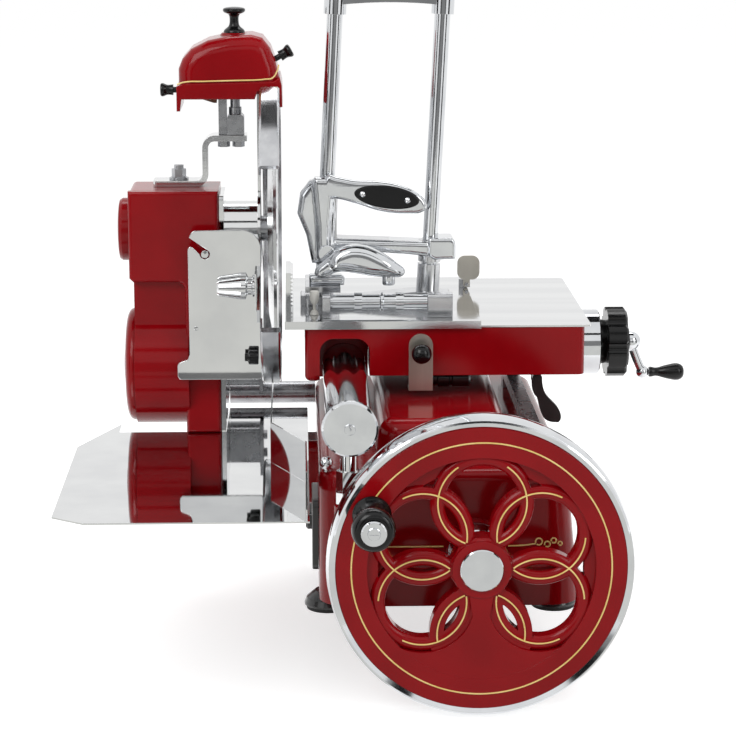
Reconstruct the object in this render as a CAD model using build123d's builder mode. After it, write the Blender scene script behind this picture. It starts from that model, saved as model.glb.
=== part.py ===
from build123d import *
import os
from math import atan2, cos, degrees, radians, sin, tan

# Hand cranked flywheel slicer, in millimetres.
# +X runs from the blade to the feed crank, +Y away from the operator, +Z up.
# The origin is the centre of the four foot pads, in the plane that they stand on.
# The flywheel hangs below that plane: the machine stands at a counter's front edge.

os.makedirs("parts", exist_ok=True)

# ---- fits -------------------------------------------------------------------
seat_gap = 0.3            # between pieces that lie on each other
fit_gap = 0.05            # radial, shaft in bush
press_gap = 0.02          # radial, bush in its seat

# ---- base -------------------------------------------------------------------
foot_x = 109
foot_y = 170
foot_radius = 23
foot_height = 18
foot_bolt_radius = 6
foot_tap_radius = 3.4      # tapped M8 hole up through each foot
foot_block_radius = 8.5
pad_height = 6
base_left = -118
base_right = 130
base_half_depth = 226
base_top = 146
base_taper = 12
base_corner = 30
wall = 8
hump_left = -62
hump_right = 70
hump_front = -150
hump_back = 190
hump_top = 178
hump_round = 16

# ---- flywheel ---------------------------------------------------------------
wheel_x = 30
wheel_z = 73
wheel_radius = 142.5
wheel_front = -290
wheel_width = 34
rim_thickness = 9
rim_crown = 2.5
face_inner = 105          # raised band of the face runs from here to the rim
disc_thickness = 12
face_recess = 6
window_count = 6
window_ring = 62.5        # radius on which the window circles are centred
window_circle = 41
rib_width = 14
rib_height = 4.5
rib_bite = 0.5            # the windows' edges cut this far into the ribs
fret_inner = 88
fret_outer = 95
fret_half = 5             # half angle of a fret's outer side
hub_radius = 27
hub_cap_radius = 20
hub_cap_height = 3
wheel_shaft_radius = 10

# ---- flywheel handle --------------------------------------------------------
handle_ring = 114
handle_angle = 152
handle_length = 62
handle_radius = 20
spindle_radius = 5
spindle_flat = 1.7

# ---- blade and its case -----------------------------------------------------
blade_y = 76
blade_z = 332
blade_plane = -157
blade_radius = 150
blade_dish = 6
blade_thickness = 3.5
ring_right = -154
ring_width = 20
ring_inner = 153.5
ring_outer = 161
ring_mouth = 31           # half angle of the ring's open front
ring_gap_half = 56        # half width of the ring's open top, at its outer edge
blade_shaft_radius = 13
tube_radius = 29
tube_bore = 21
case_right = -217
case_left = -309
case_half = 38
case_top = 377
box_bottom = 285
column_width = 36
column_foot = 34
case_wall = 5
bulge_radius = 62
lay_z = 189
lay_shaft_radius = 9
cross_shaft_radius = 9
cover_height = 12
plate_thickness = 4.7

# ---- guide rod and rail -----------------------------------------------------
rod_x = -90
rod_z = 201
rod_radius = 22
rod_front = -263
rod_back = 216
rod_cap_radius = 26
rod_cap_length = 8
post_front_y = -233
post_back_y = 186
rail_x = 92
rail_width = 14
rail_top = 170
rail_height = 12

# ---- carriage ---------------------------------------------------------------
carriage_left = -130
carriage_right = 151
carriage_front = -45
carriage_back = 190
carriage_bottom = 201
carriage_top = 250
carriage_wall = 6
tunnel_clearance = 3
cover_thickness = 2
cover_over = 6
stroke = 200

# ---- feed screw and its knobs -----------------------------------------------
screw_y = 70
screw_z = 211
screw_radius = 7
screw_left = -58
collar_radius = 34
collar_length = 27
neck_radius = 24
neck_length = 10
knob_radius = 36.5
knob_length = 21
knob_lobes = 8
crank_drop = 33
crank_grip_length = 37
feed_travel = 86

# ---- meat table -------------------------------------------------------------
table_left = -150
table_right = 46
table_front = -50
table_back = 212
table_thickness = 3
bar_height = 8
bar_depth = 8

# ---- press ------------------------------------------------------------------
press_y = 60
column_radius = 8
column_spacing = 109.4
column_tilt = 2.8
left_column_x = -112
column_top = 558
yoke_height = 11
press_lift = 150

# ---- sharpener --------------------------------------------------------------
hood_left = -258
hood_right = -151
hood_bottom = 458
hood_top = 534
hood_depth = 84
hood_wall = 3
strap_width = 30
strap_thickness = 6
stud_x = -200

# ---- tray -------------------------------------------------------------------
tray_top = 125
tray_sheet = 1.5
tray_left = -361
tray_right = -127
tray_front = -307
tray_back = 141
tray_wall_top = 165


# ---- helpers: each one works in the open part -------------------------------
def block(x0, x1, y0, y1, z0, z1, mode=Mode.ADD):
    """Box between its limits along X, Y and Z."""
    with BuildSketch(Plane.XY.offset(z0)) as plan:
        with Locations(((x0 + x1) / 2, (y0 + y1) / 2)):
            Rectangle(x1 - x0, y1 - y0)
    extrude(plan.sketch, amount=z1 - z0, mode=mode)


def rod(start, end, radius, mode=Mode.ADD):
    """Round bar from one point to another."""
    way = Vector(*end) - Vector(*start)
    with BuildSketch(Plane(origin=start, z_dir=way)) as section:
        Circle(radius)
    extrude(section.sketch, amount=way.length, mode=mode)


def tube(start, end, radius, bore, mode=Mode.ADD):
    """Round bar with a through bore."""
    way = Vector(*end) - Vector(*start)
    with BuildSketch(Plane(origin=start, z_dir=way)) as section:
        Circle(radius)
        Circle(bore, mode=Mode.SUBTRACT)
    extrude(section.sketch, amount=way.length, mode=mode)


def hexagon(start, end, across_flats, mode=Mode.ADD):
    """Hexagon bar from one point to another."""
    way = Vector(*end) - Vector(*start)
    with BuildSketch(Plane(origin=start, z_dir=way)) as section:
        RegularPolygon(across_flats / 2, 6, major_radius=False)
    extrude(section.sketch, amount=way.length, mode=mode)


def turned(origin, direction, outline, mode=Mode.ADD):
    """Solid of revolution: outline is a list of (radius, height) along direction."""
    axis_way = Vector(*direction).normalized()
    side = Vector(0, 0, 1) if abs(axis_way.Z) < 0.9 else Vector(1, 0, 0)
    radial = (side - axis_way * side.dot(axis_way)).normalized()
    plane = Plane(origin=origin, x_dir=radial, z_dir=radial.cross(axis_way))
    with BuildSketch(plane) as half:
        with BuildLine():
            Polyline(*outline, close=True)
        make_face()
    revolve(half.sketch, axis=Axis(origin, tuple(axis_way)), mode=mode)


def lathe(origin, direction, curve, mode=Mode.ADD):
    """Solid of revolution whose side is one smooth curve of (radius, height) points."""
    axis_way = Vector(*direction).normalized()
    side = Vector(0, 0, 1) if abs(axis_way.Z) < 0.9 else Vector(1, 0, 0)
    radial = (side - axis_way * side.dot(axis_way)).normalized()
    plane = Plane(origin=origin, x_dir=radial, z_dir=radial.cross(axis_way))
    with BuildSketch(plane) as half:
        with BuildLine():
            Spline(*curve)
            Polyline(curve[-1], (0, curve[-1][1]), (0, curve[0][1]), curve[0])
        make_face()
    revolve(half.sketch, axis=Axis(origin, tuple(axis_way)), mode=mode)


def profile(plane, points, amount, mode=Mode.ADD, rounding=0):
    """Plate of a straight-sided outline, standing on a plane."""
    with BuildSketch(plane) as outline:
        with BuildLine():
            Polyline(*points, close=True)
        make_face()
        if rounding:
            fillet(outline.vertices(), rounding)
    extrude(outline.sketch, amount=amount, mode=mode)


def keep(piece, name):
    """Name a finished piece and write it."""
    piece.part.label = name
    export_step(piece.part, f"parts/{name}.step")


# ============================ base ===========================================
base_mid_x = (base_left + base_right) / 2
base_width = base_right - base_left
arm_half = 30             # cast arm that carries the blade case, under the tray
arm_top = tray_top - 16
arm_bottom = wheel_z - 32
bush_wall = 4
web_y = -8                # inner wall that carries the flywheel shaft's back end

with BuildPart() as base_casting:
    with BuildSketch(Plane.XY.offset(foot_height)):
        with Locations((base_mid_x, 0)):
            RectangleRounded(base_width, 2 * base_half_depth, base_corner)
    with BuildSketch(Plane.XY.offset(base_top)):
        with Locations((base_mid_x - base_taper / 2, 0)):
            RectangleRounded(base_width - base_taper, 2 * base_half_depth - 2 * base_taper,
                             base_corner - base_taper / 2)
    loft()
    fillet(base_casting.faces().sort_by(Axis.Z)[-1].edges(), 10)
    with BuildSketch(Plane.XY.offset(base_top - wall)) as hump_plan:
        with Locations(((hump_left + hump_right) / 2, (hump_front + hump_back) / 2)):
            RectangleRounded(hump_right - hump_left, hump_back - hump_front, 24)
    extrude(amount=hump_top - base_top + wall, taper=6)
    fillet(base_casting.faces().sort_by(Axis.Z)[-1].edges(), hump_round)
    # the hollow, open below, in two halves either side of the shaft wall
    for y0, y1 in ((-base_half_depth + base_taper + wall, web_y - wall),
                   (web_y, base_half_depth - base_taper - wall)):
        block(base_left + base_taper + wall - 4, base_right - base_taper - wall, y0, y1,
              foot_height, base_top - wall, mode=Mode.SUBTRACT)
        block(hump_left + wall + 6, hump_right - wall - 6, max(y0, hump_front + wall + 6),
              min(y1, hump_back - wall - 6), base_top - wall - 1, hump_top - wall, mode=Mode.SUBTRACT)
    # arm to the blade case, with the cross shaft's seat bored along it
    with BuildSketch(Plane.YZ.offset(case_right + seat_gap)):
        with Locations((blade_y, (arm_top + arm_bottom) / 2)):
            RectangleRounded(2 * arm_half, arm_top - arm_bottom, 12)
    extrude(until=Until.NEXT)
    # bosses of the flywheel shaft, front and inner wall
    rod((wheel_x, -base_half_depth - 2, wheel_z), (wheel_x, -base_half_depth + 30, wheel_z), 28)
    rod((wheel_x, web_y - wall - 6, wheel_z), (wheel_x, web_y + 4, wheel_z), 20)
    # boss of the cross shaft's right end on the right wall
    rod((base_right - base_taper - wall - 22, blade_y, wheel_z),
        (base_right - base_taper, blade_y, wheel_z), 20)
    # ear under the guide rod's front post, and pads of the back post and the rail
    rod((rod_x, post_front_y, foot_height + 40), (rod_x, post_front_y, base_top - 26), 14)
    block(rod_x - 14, rod_x + 14, post_front_y, -base_half_depth + 24, foot_height + 40,
          base_top - 26)
    # bores: flywheel shaft, cross shaft, foot bolts
    rod((wheel_x, -base_half_depth - 4, wheel_z), (wheel_x, web_y + 10, wheel_z),
        wheel_shaft_radius + bush_wall, mode=Mode.SUBTRACT)
    rod((case_right - 4, blade_y, wheel_z), (base_right - base_taper - 6, blade_y, wheel_z),
        cross_shaft_radius + bush_wall, mode=Mode.SUBTRACT)
    # foot blocks inside the corners, each drilled for a foot bolt from below
    for x in (-foot_x, foot_x):
        for y in (-foot_y, foot_y):
            rod((x, y, foot_height), (x, y, foot_height + 26), foot_block_radius)
            rod((x, y, foot_height - 1), (x, y, foot_height + 20), foot_bolt_radius,
                mode=Mode.SUBTRACT)
keep(base_casting, "base_casting")

with BuildPart() as foot_bells:
    for x in (-foot_x, foot_x):
        for y in (-foot_y, foot_y):
            turned((x, y, 0), (0, 0, 1),
                   [(foot_radius, pad_height - 2), (foot_radius, pad_height),
                    (foot_radius - 2, pad_height + 5), (foot_radius - 7, foot_height - 2.5),
                    (foot_radius - 10, foot_height - seat_gap), (foot_bolt_radius - fit_gap, foot_height - seat_gap),
                    (foot_bolt_radius - fit_gap, foot_height + 16), (0, foot_height + 16),
                    (0, pad_height + seat_gap), (foot_radius - 1.8, pad_height + seat_gap),
                    (foot_radius - 1.8, pad_height - 2)])
            rod((x, y, pad_height), (x, y, foot_height + 12), foot_tap_radius, mode=Mode.SUBTRACT)
keep(foot_bells, "foot_bells")

with BuildPart() as foot_pads:
    for x in (-foot_x, foot_x):
        for y in (-foot_y, foot_y):
            tube((x, y, 0), (x, y, pad_height), foot_radius - 2.2, foot_tap_radius)
keep(foot_pads, "foot_pads")

# black cover on the left wall, over the drive's oiling hatch
with BuildPart() as side_cover:
    with BuildSketch(Plane.YZ.offset(base_left - seat_gap - 6)):
        with Locations((-150, 76)):
            RectangleRounded(74, 70, 8)
    extrude(amount=6)
    fillet(side_cover.faces().sort_by(Axis.X)[0].edges(), 1.5)
    turned((base_left - 6 - seat_gap, -158, 82), (-1, 0, 0), [(0, 0), (7, 0), (7, 4), (5, 6), (0, 6)])
keep(side_cover, "side_cover")

# ============================ flywheel =======================================
wheel_back = wheel_front + wheel_width
wheel_plane = Plane(origin=(wheel_x, wheel_front, wheel_z), x_dir=(1, 0, 0), z_dir=(0, -1, 0))
rim_bore = wheel_radius - rim_thickness
solid_window = 270        # the lowest window circle is a solid panel


def at_face(depth):
    """Plane of the wheel's face, sunk by depth; its x is +X and its y is +Z."""
    return wheel_plane.offset(-depth)


def face_point(radius, angle):
    """Point of the wheel's face at an angle from +X."""
    return (radius * cos(radians(angle)), radius * sin(radians(angle)))


def wheel_point(radius, angle, depth):
    """The same point in the machine's frame."""
    x, z = face_point(radius, angle)
    return (wheel_x + x, wheel_front + depth, wheel_z + z)


window_angles = [30 + i * 360 / window_count for i in range(window_count)]
open_angles = [a for a in window_angles if a != solid_window]
spoke_angles = [i * 360 / window_count for i in range(window_count)]
fret_angles = [a for a in spoke_angles if 0 <= a <= 180]

with BuildPart() as flywheel:
    # sunk field, raised band and hub
    with BuildSketch(at_face(face_recess + disc_thickness)):
        Circle(rim_bore - press_gap)
    extrude(amount=disc_thickness)
    with BuildSketch(at_face(wheel_width - 4)):
        Circle(rim_bore - press_gap)
        Circle(face_inner, mode=Mode.SUBTRACT)
    extrude(amount=wheel_width - 4)
    with BuildSketch(at_face(wheel_width)):
        Circle(hub_radius)
    extrude(amount=wheel_width + 1)
    with BuildSketch(at_face(face_recess)):
        with Locations(face_point(window_ring, solid_window)):
            Circle(window_circle + rib_width / 2)
    extrude(amount=rib_height - 1)
    # bore for the shaft, and the handle spindle's hole
    with BuildSketch(at_face(wheel_width)) as bores:
        Circle(wheel_shaft_radius + press_gap)
        with Locations(face_point(handle_ring, handle_angle)):
            Circle(spindle_radius + press_gap)
    extrude(bores.sketch, amount=wheel_width + 2, mode=Mode.SUBTRACT)
    # a half round rib runs along each open window's circle
    for angle in open_angles:
        centre = wheel_point(window_ring, angle, face_recess)
        with BuildSketch(Plane(origin=centre, x_dir=(1, 0, 0), z_dir=(0, 0, 1))) as rib:
            with BuildLine():
                ThreePointArc((window_circle - rib_width / 2, 0), (window_circle, -rib_height),
                              (window_circle + rib_width / 2, 0))
                Polyline((window_circle + rib_width / 2, 0), (window_circle + rib_width / 2, 2),
                         (window_circle - rib_width / 2, 2), (window_circle - rib_width / 2, 0))
            make_face()
        revolve(rib.sketch, axis=Axis(centre, (0, 1, 0)))
    # each window is its circle without the neighbours' ribs
    opening = window_circle - rib_width / 2 + rib_bite
    blocked = window_circle + rib_width / 2 - rib_bite
    for angle in open_angles:
        with BuildSketch(at_face(wheel_width)) as window:
            with Locations(face_point(window_ring, angle)):
                Circle(opening)
            with Locations(*[face_point(window_ring, a) for a in window_angles if a != angle]):
                Circle(blocked, mode=Mode.SUBTRACT)
        extrude(window.sketch, amount=wheel_width + 2, mode=Mode.SUBTRACT)
    # a lens shaped slot in each spoke, where two neighbouring circles overlap
    for angle in spoke_angles:
        with BuildSketch(at_face(wheel_width)) as lens:
            with Locations(face_point(window_ring, angle - 180 / window_count)):
                Circle(opening)
            with Locations(face_point(window_ring, angle + 180 / window_count)):
                Circle(opening, mode=Mode.INTERSECT)
        extrude(lens.sketch, amount=wheel_width + 2, mode=Mode.SUBTRACT)
    # small three-cornered frets beside the raised band
    for angle in fret_angles:
        with BuildSketch(at_face(wheel_width)) as fret:
            with BuildLine():
                Polyline(face_point(fret_inner, angle), face_point(fret_outer, angle - fret_half),
                         face_point(fret_outer, angle + fret_half), close=True)
            make_face()
        extrude(fret.sketch, amount=wheel_width + 2, mode=Mode.SUBTRACT)
keep(flywheel, "flywheel")

with BuildPart() as flywheel_rim:
    # crowned chrome band: a flat front edge and a rounded tread
    with BuildSketch(Plane(origin=(wheel_x, wheel_front, wheel_z), x_dir=(1, 0, 0), z_dir=(0, 0, 1))):
        with BuildLine():
            Polyline((rim_bore, 1), (wheel_radius - rim_crown - 2, -1), (wheel_radius - rim_crown, 0))
            ThreePointArc((wheel_radius - rim_crown, 0), (wheel_radius, wheel_width / 2),
                          (wheel_radius - rim_crown, wheel_width))
            Polyline((wheel_radius - rim_crown, wheel_width), (rim_bore, wheel_width - 2), (rim_bore, 1))
        make_face()
    revolve(axis=Axis((wheel_x, wheel_front, wheel_z), (0, 1, 0)))
keep(flywheel_rim, "flywheel_rim")

bevel_cone = 50.31        # cone distance of both bevel gears, to their outer ends
bevel_module = 3
wheel_teeth = 30
cross_teeth = 15
bevel_face = 14
wheel_pitch = degrees(atan2(wheel_teeth, cross_teeth))
cross_pitch = 90 - wheel_pitch
apex = (wheel_x, blade_y, wheel_z)
wheel_gear_base = bevel_cone * cos(radians(wheel_pitch)) + 8
cross_gear_base = bevel_cone * cos(radians(cross_pitch)) + 4

def bevel_gear(axis_way, side_way, teeth, pitch_angle, bore, hub, base, phase):
    """Straight bevel gear whose cone meets at the shafts' crossing point."""
    way = Vector(*axis_way)
    out = Vector(*side_way)
    along = cos(radians(pitch_angle))
    across = sin(radians(pitch_angle))
    inner = bevel_cone - bevel_face
    dedendum = 1.15 * bevel_module
    turned(apex, axis_way,
           [(bore, inner * along - 2), (hub * 0.8, inner * along - 2),
            (inner * across - dedendum * along * 0.75, inner * along + dedendum * across * 0.75),
            (bevel_cone * across - dedendum * along, bevel_cone * along + dedendum * across),
            (hub, base), (bore, base)])
    for number in range(teeth):
        turn = radians(phase + number * 360 / teeth)
        radial = out * cos(turn) + way.cross(out) * sin(turn)
        tangent = way.cross(radial)
        element = radial * across + way * along
        normal = radial * along - way * across
        faces = []
        for distance in (inner, bevel_cone):
            size = bevel_module * distance / bevel_cone
            spot = Vector(*apex) + element * distance
            corners = [spot + tangent * (size * s) + normal * (size * h)
                       for s, h in ((-0.80, -1.25), (0.80, -1.25), (0.40, 0.85), (-0.40, 0.85))]
            faces.append(Face(Wire.make_polygon([tuple(c) for c in corners], close=True)))
        loft(faces)


with BuildPart() as flywheel_shaft:
    # shaft, and the large bevel gear pressed on its back end
    rod((wheel_x, wheel_front, wheel_z), (wheel_x, blade_y - wheel_gear_base + 12, wheel_z),
        wheel_shaft_radius)
    bevel_gear((0, -1, 0), (0, 0, 1), wheel_teeth, wheel_pitch, wheel_shaft_radius + press_gap, 20,
               wheel_gear_base, 0)
keep(flywheel_shaft, "flywheel_shaft")

cross_right = base_right - base_taper - 8
sprocket_x = case_right - column_width / 2
# handle of the flywheel
handle_base = wheel_point(handle_ring, handle_angle, 0)
with BuildPart() as wheel_fittings:
    # bright cap on the hub, and the handle's spindle with its end cap and slotted screw
    turned((wheel_x, wheel_front - 1 - seat_gap, wheel_z), (0, -1, 0),
           [(0, 0), (hub_cap_radius, 0), (hub_cap_radius, hub_cap_height - 1),
            (hub_cap_radius - 1, hub_cap_height), (0, hub_cap_height)])
    rod((handle_base[0], wheel_front + wheel_width - 4, handle_base[2]),
        (handle_base[0], wheel_front - handle_length, handle_base[2]), spindle_radius)
    # flat milled on the spindle, which clears the foot of the rib beside it
    block(handle_base[0] + spindle_flat, handle_base[0] + spindle_radius + 1, wheel_front + 2,
          wheel_front + 9, handle_base[2] - 8, handle_base[2] + 8, mode=Mode.SUBTRACT)
    turned((handle_base[0], wheel_front - handle_length - seat_gap, handle_base[2]), (0, -1, 0),
           [(0, 0), (handle_radius * 0.58, 0), (handle_radius * 0.58, 1.6), (handle_radius * 0.5, 2.4),
            (0, 2.4)])
    turned((handle_base[0], wheel_front - handle_length - 2.4 - seat_gap, handle_base[2]), (0, -1, 0),
           [(0, 0), (6, 0), (5.4, 1.4), (0, 1.8)])
    block(handle_base[0] - 7, handle_base[0] + 7, wheel_front - handle_length - 5,
          wheel_front - handle_length - 3.4 - seat_gap, handle_base[2] - 0.6, handle_base[2] + 0.6,
          mode=Mode.SUBTRACT)
keep(wheel_fittings, "wheel_fittings")

with BuildPart() as handle_grip:
    lathe((handle_base[0], wheel_front - seat_gap - 1, handle_base[2]), (0, -1, 0),
          [(handle_radius * 0.86, 0), (handle_radius * 0.90, 2.5), (handle_radius * 0.78, 7),
           (handle_radius * 0.58, handle_length * 0.32), (handle_radius * 0.72, handle_length * 0.52),
           (handle_radius * 0.97, handle_length * 0.72), (handle_radius, handle_length * 0.80),
           (handle_radius * 0.90, handle_length * 0.91), (handle_radius * 0.66, handle_length * 0.96)])
    rod((handle_base[0], wheel_front, handle_base[2]),
        (handle_base[0], wheel_front - handle_length - 2, handle_base[2]), spindle_radius + fit_gap,
        mode=Mode.SUBTRACT)
keep(handle_grip, "handle_grip")

with BuildPart() as base_fittings:
    # polished bearing flange on the base's front wall, behind the wheel's hub
    turned((wheel_x, -base_half_depth - 2 - seat_gap, wheel_z), (0, -1, 0),
           [(wheel_shaft_radius + fit_gap, 0), (27, 0), (27, 3), (22, 7), (16, 9),
            (wheel_shaft_radius + fit_gap, 9)])
    for angle in (45, 135, 225, 315):
        dx = 21 * cos(radians(angle))
        dz = 21 * sin(radians(angle))
        hexagon((wheel_x + dx, -base_half_depth - 2, wheel_z + dz),
                (wheel_x + dx, -base_half_depth - 13, wheel_z + dz), 7)
    # ball oiler on the base's front shoulder
    lathe((rod_x - 21, -206, base_top - 1), (0, 0, 1), [(3, 0), (3.6, 3), (6, 6), (6.4, 9), (4, 13), (0.5, 14)])
keep(base_fittings, "base_fittings")

# ============================ blade case =====================================
bulge_left = case_left + 4
column_left = case_right - column_width
chainwheel_radius = 35
blade_sprocket_radius = 19
lay_sprocket_radius = 20
cross_sprocket_radius = 22
chain_x = (bulge_left + column_left) / 2 - 2
chain_half = 5            # half width of both chains
chain_height = 5
cavity_room = 1.5


def case_outline(x, radius_low, radius_high, amount, mode):
    """Pear shaped slab of the chain case between two circles."""
    with BuildSketch(Plane.YZ.offset(x)) as pear:
        with Locations((blade_y, lay_z)):
            Circle(radius_low)
        with Locations((blade_y, blade_z)):
            Circle(radius_high)
        make_hull()
    extrude(pear.sketch, amount=amount, mode=mode)


with BuildPart() as case_body:
    block(case_left, case_right, blade_y - case_half, blade_y + case_half, box_bottom, case_top)
    fillet(case_body.edges().filter_by(Axis.X), 6)
    fillet(case_body.faces().sort_by(Axis.X)[0].edges(), 5)
    # round lower housing and the neck up to the box
    with BuildSketch(Plane.YZ.offset(bulge_left)) as low_house:
        with Locations((blade_y, lay_z)):
            Circle(bulge_radius)
        with Locations((blade_y, (lay_z + box_bottom + 10) / 2)):
            Rectangle(2 * case_half, box_bottom + 10 - lay_z)
    extrude(amount=column_left - bulge_left + 4)
    # flat column that stands on the base's arm
    with BuildSketch(Plane.YZ.offset(column_left)):
        with Locations((blade_y, (column_foot + box_bottom + 10) / 2)):
            Rectangle(2 * case_half, box_bottom + 10 - column_foot)
    extrude(amount=column_width)
    # cavity of the blade chain, open to the left under the covers
    case_outline(bulge_left - 1, chainwheel_radius + chain_height + cavity_room,
                 blade_sprocket_radius + chain_height + cavity_room,
                 column_left - bulge_left - case_wall + 3, Mode.SUBTRACT)
    rod((case_left - 1, blade_y, blade_z), (column_left - case_wall, blade_y, blade_z),
        blade_sprocket_radius + chain_height + cavity_room, mode=Mode.SUBTRACT)
    # cavity of the column chain
    with BuildSketch(Plane.YZ.offset(column_left + case_wall + 1)):
        with Locations((blade_y, (wheel_z + lay_z) / 2)):
            SlotCenterToCenter(lay_z - wheel_z, 2 * (cross_sprocket_radius + chain_height + 1),
                               rotation=90)
    extrude(amount=column_width - 2 * case_wall - 2, mode=Mode.SUBTRACT)
    # bores: blade shaft, lay shaft and cross shaft, each with room for its bushes
    rod((case_left - 1, blade_y, blade_z), (case_right + 1, blade_y, blade_z),
        blade_shaft_radius + bush_wall, mode=Mode.SUBTRACT)
    rod((bulge_left, blade_y, lay_z), (case_right - 2, blade_y, lay_z),
        lay_shaft_radius + bush_wall, mode=Mode.SUBTRACT)
    rod((column_left + 8, blade_y, wheel_z), (case_right + 1, blade_y, wheel_z),
        cross_shaft_radius + bush_wall, mode=Mode.SUBTRACT)
keep(case_body, "case_body")

upper_cover_radius = 32.5
lower_cover_radius = bulge_radius - 3
with BuildPart() as case_covers:
    # flat upper cap with a rolled edge
    turned((case_left - seat_gap, blade_y, blade_z), (-1, 0, 0),
           [(0, 0), (upper_cover_radius, 0), (upper_cover_radius, cover_height - 4),
            (upper_cover_radius - 2, cover_height - 1), (upper_cover_radius - 6, cover_height),
            (upper_cover_radius - 9, cover_height - 2), (0, cover_height - 2)])
    # large crowned lower cap
    lathe((bulge_left - seat_gap, blade_y, lay_z), (-1, 0, 0),
          [(lower_cover_radius, 0), (lower_cover_radius - 1, 5), (lower_cover_radius - 12, 10),
           (lower_cover_radius - 40, 12.5)])
keep(case_covers, "case_covers")

with BuildPart() as case_plate:
    # polished plate against the case's blade side, with an ear for the ring's lower block
    with BuildSketch(Plane.YZ.offset(case_right + seat_gap)):
        with Locations((blade_y, (arm_top + 1 + case_top - 6) / 2)):
            RectangleRounded(2 * case_half - 2, case_top - 6 - arm_top - 1, 4)
        with Locations((blade_y + 66, 164)):
            RectangleRounded(96, 60, 8)
        with Locations((blade_y, blade_z)):
            Circle(tube_radius + fit_gap, mode=Mode.SUBTRACT)
    extrude(amount=plate_thickness)
keep(case_plate, "case_plate")

spider_x = blade_plane - blade_dish - blade_thickness - 8
spider_thickness = 3
spider_angles = (90, -25, 208)
with BuildPart() as blade_shaft_tube:
    # polished housing of the blade shaft, with the three arms that carry the ring
    tube((case_right + seat_gap, blade_y, blade_z), (spider_x, blade_y, blade_z), tube_radius,
         blade_shaft_radius + bush_wall)
    with BuildSketch(Plane.YZ.offset(spider_x - spider_thickness)):
        with Locations((blade_y, blade_z)):
            Circle(tube_radius + 12)
            for angle in spider_angles:
                with Locations(Location(face_point((ring_inner + tube_radius) / 2 - 4, angle), angle)):
                    Rectangle(ring_inner - tube_radius - 8, 16)
            Circle(blade_shaft_radius + bush_wall, mode=Mode.SUBTRACT)
    extrude(amount=spider_thickness)
keep(blade_shaft_tube, "blade_shaft_tube")

with BuildPart() as shaft_bushes:
    # bronze bushes: blade shaft, lay shaft, cross shaft and flywheel shaft
    for x in (column_left + 2, spider_x - 14):
        tube((x, blade_y, blade_z), (x + 12, blade_y, blade_z),
             blade_shaft_radius + bush_wall - press_gap, blade_shaft_radius + fit_gap)
    for x in (column_left - case_wall + 1, case_right - 10):
        tube((x, blade_y, lay_z), (x + (9 if x < case_right - 20 else 7), blade_y, lay_z),
             lay_shaft_radius + bush_wall - press_gap, lay_shaft_radius + fit_gap)
    for x in (case_right + 4, base_left + 2, cross_right - 14):
        tube((x, blade_y, wheel_z), (x + 14, blade_y, wheel_z),
             cross_shaft_radius + bush_wall - press_gap, cross_shaft_radius + fit_gap)
    for y in (-base_half_depth, web_y - wall - 5):
        tube((wheel_x, y, wheel_z), (wheel_x, y + 16, wheel_z),
             wheel_shaft_radius + bush_wall - press_gap, wheel_shaft_radius + fit_gap)
keep(shaft_bushes, "shaft_bushes")


def sprocket(x, centre_z, tip_radius, teeth, thickness, bore):
    """Chain sprocket on a shaft along X."""
    with BuildSketch(Plane.YZ.offset(x - thickness / 2)) as wheel:
        with Locations((blade_y, centre_z)):
            Circle(tip_radius - 3)
            with PolarLocations(tip_radius - 3, teeth):
                Trapezoid(4.6, 5, 75, rotation=-90)
            Circle(bore, mode=Mode.SUBTRACT)
    extrude(wheel.sketch, amount=thickness)
    tube((x - thickness / 2 - 3, blade_y, centre_z), (x + thickness / 2 + 3, blade_y, centre_z),
         bore + 5, bore)


def chain_loop(x, z_low, tip_low, z_high, tip_high):
    """Closed chain round two sprockets, clear of their tooth tips."""
    with BuildSketch(Plane.YZ.offset(x - chain_half)) as outer:
        with Locations((blade_y, z_low)):
            Circle(tip_low + chain_height)
        with Locations((blade_y, z_high)):
            Circle(tip_high + chain_height)
        make_hull()
    with BuildSketch(Plane.YZ.offset(x - chain_half)) as inner:
        with Locations((blade_y, z_low)):
            Circle(tip_low + seat_gap)
        with Locations((blade_y, z_high)):
            Circle(tip_high + seat_gap)
        make_hull()
    extrude(outer.sketch, amount=2 * chain_half)
    extrude(inner.sketch, amount=2 * chain_half, mode=Mode.SUBTRACT)


with BuildPart() as drive_chains:
    chain_loop(sprocket_x, wheel_z, cross_sprocket_radius, lay_z, lay_sprocket_radius)
    chain_loop(chain_x, lay_z, chainwheel_radius, blade_z, blade_sprocket_radius)
keep(drive_chains, "drive_chains")

with BuildPart() as cross_shaft:
    # shaft under the tray, with the small bevel gear and the lower chain sprocket on it
    rod((sprocket_x - 8, blade_y, wheel_z), (cross_right, blade_y, wheel_z), cross_shaft_radius)
    bevel_gear((-1, 0, 0), (0, 0, 1), cross_teeth, cross_pitch, cross_shaft_radius + press_gap, 14,
               cross_gear_base, 90 / cross_teeth)
    sprocket(sprocket_x, wheel_z, cross_sprocket_radius, 20, 6, cross_shaft_radius - 4)
keep(cross_shaft, "cross_shaft")

with BuildPart() as lay_shaft:
    # short shaft of the round housing, with its two sprockets
    rod((chain_x - 9, blade_y, lay_z), (case_right - 3, blade_y, lay_z), lay_shaft_radius)
    sprocket(sprocket_x, lay_z, lay_sprocket_radius, 18, 6, lay_shaft_radius - 4)
    sprocket(chain_x, lay_z, chainwheel_radius, 32, 6, lay_shaft_radius - 4)
keep(lay_shaft, "lay_shaft")

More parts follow.
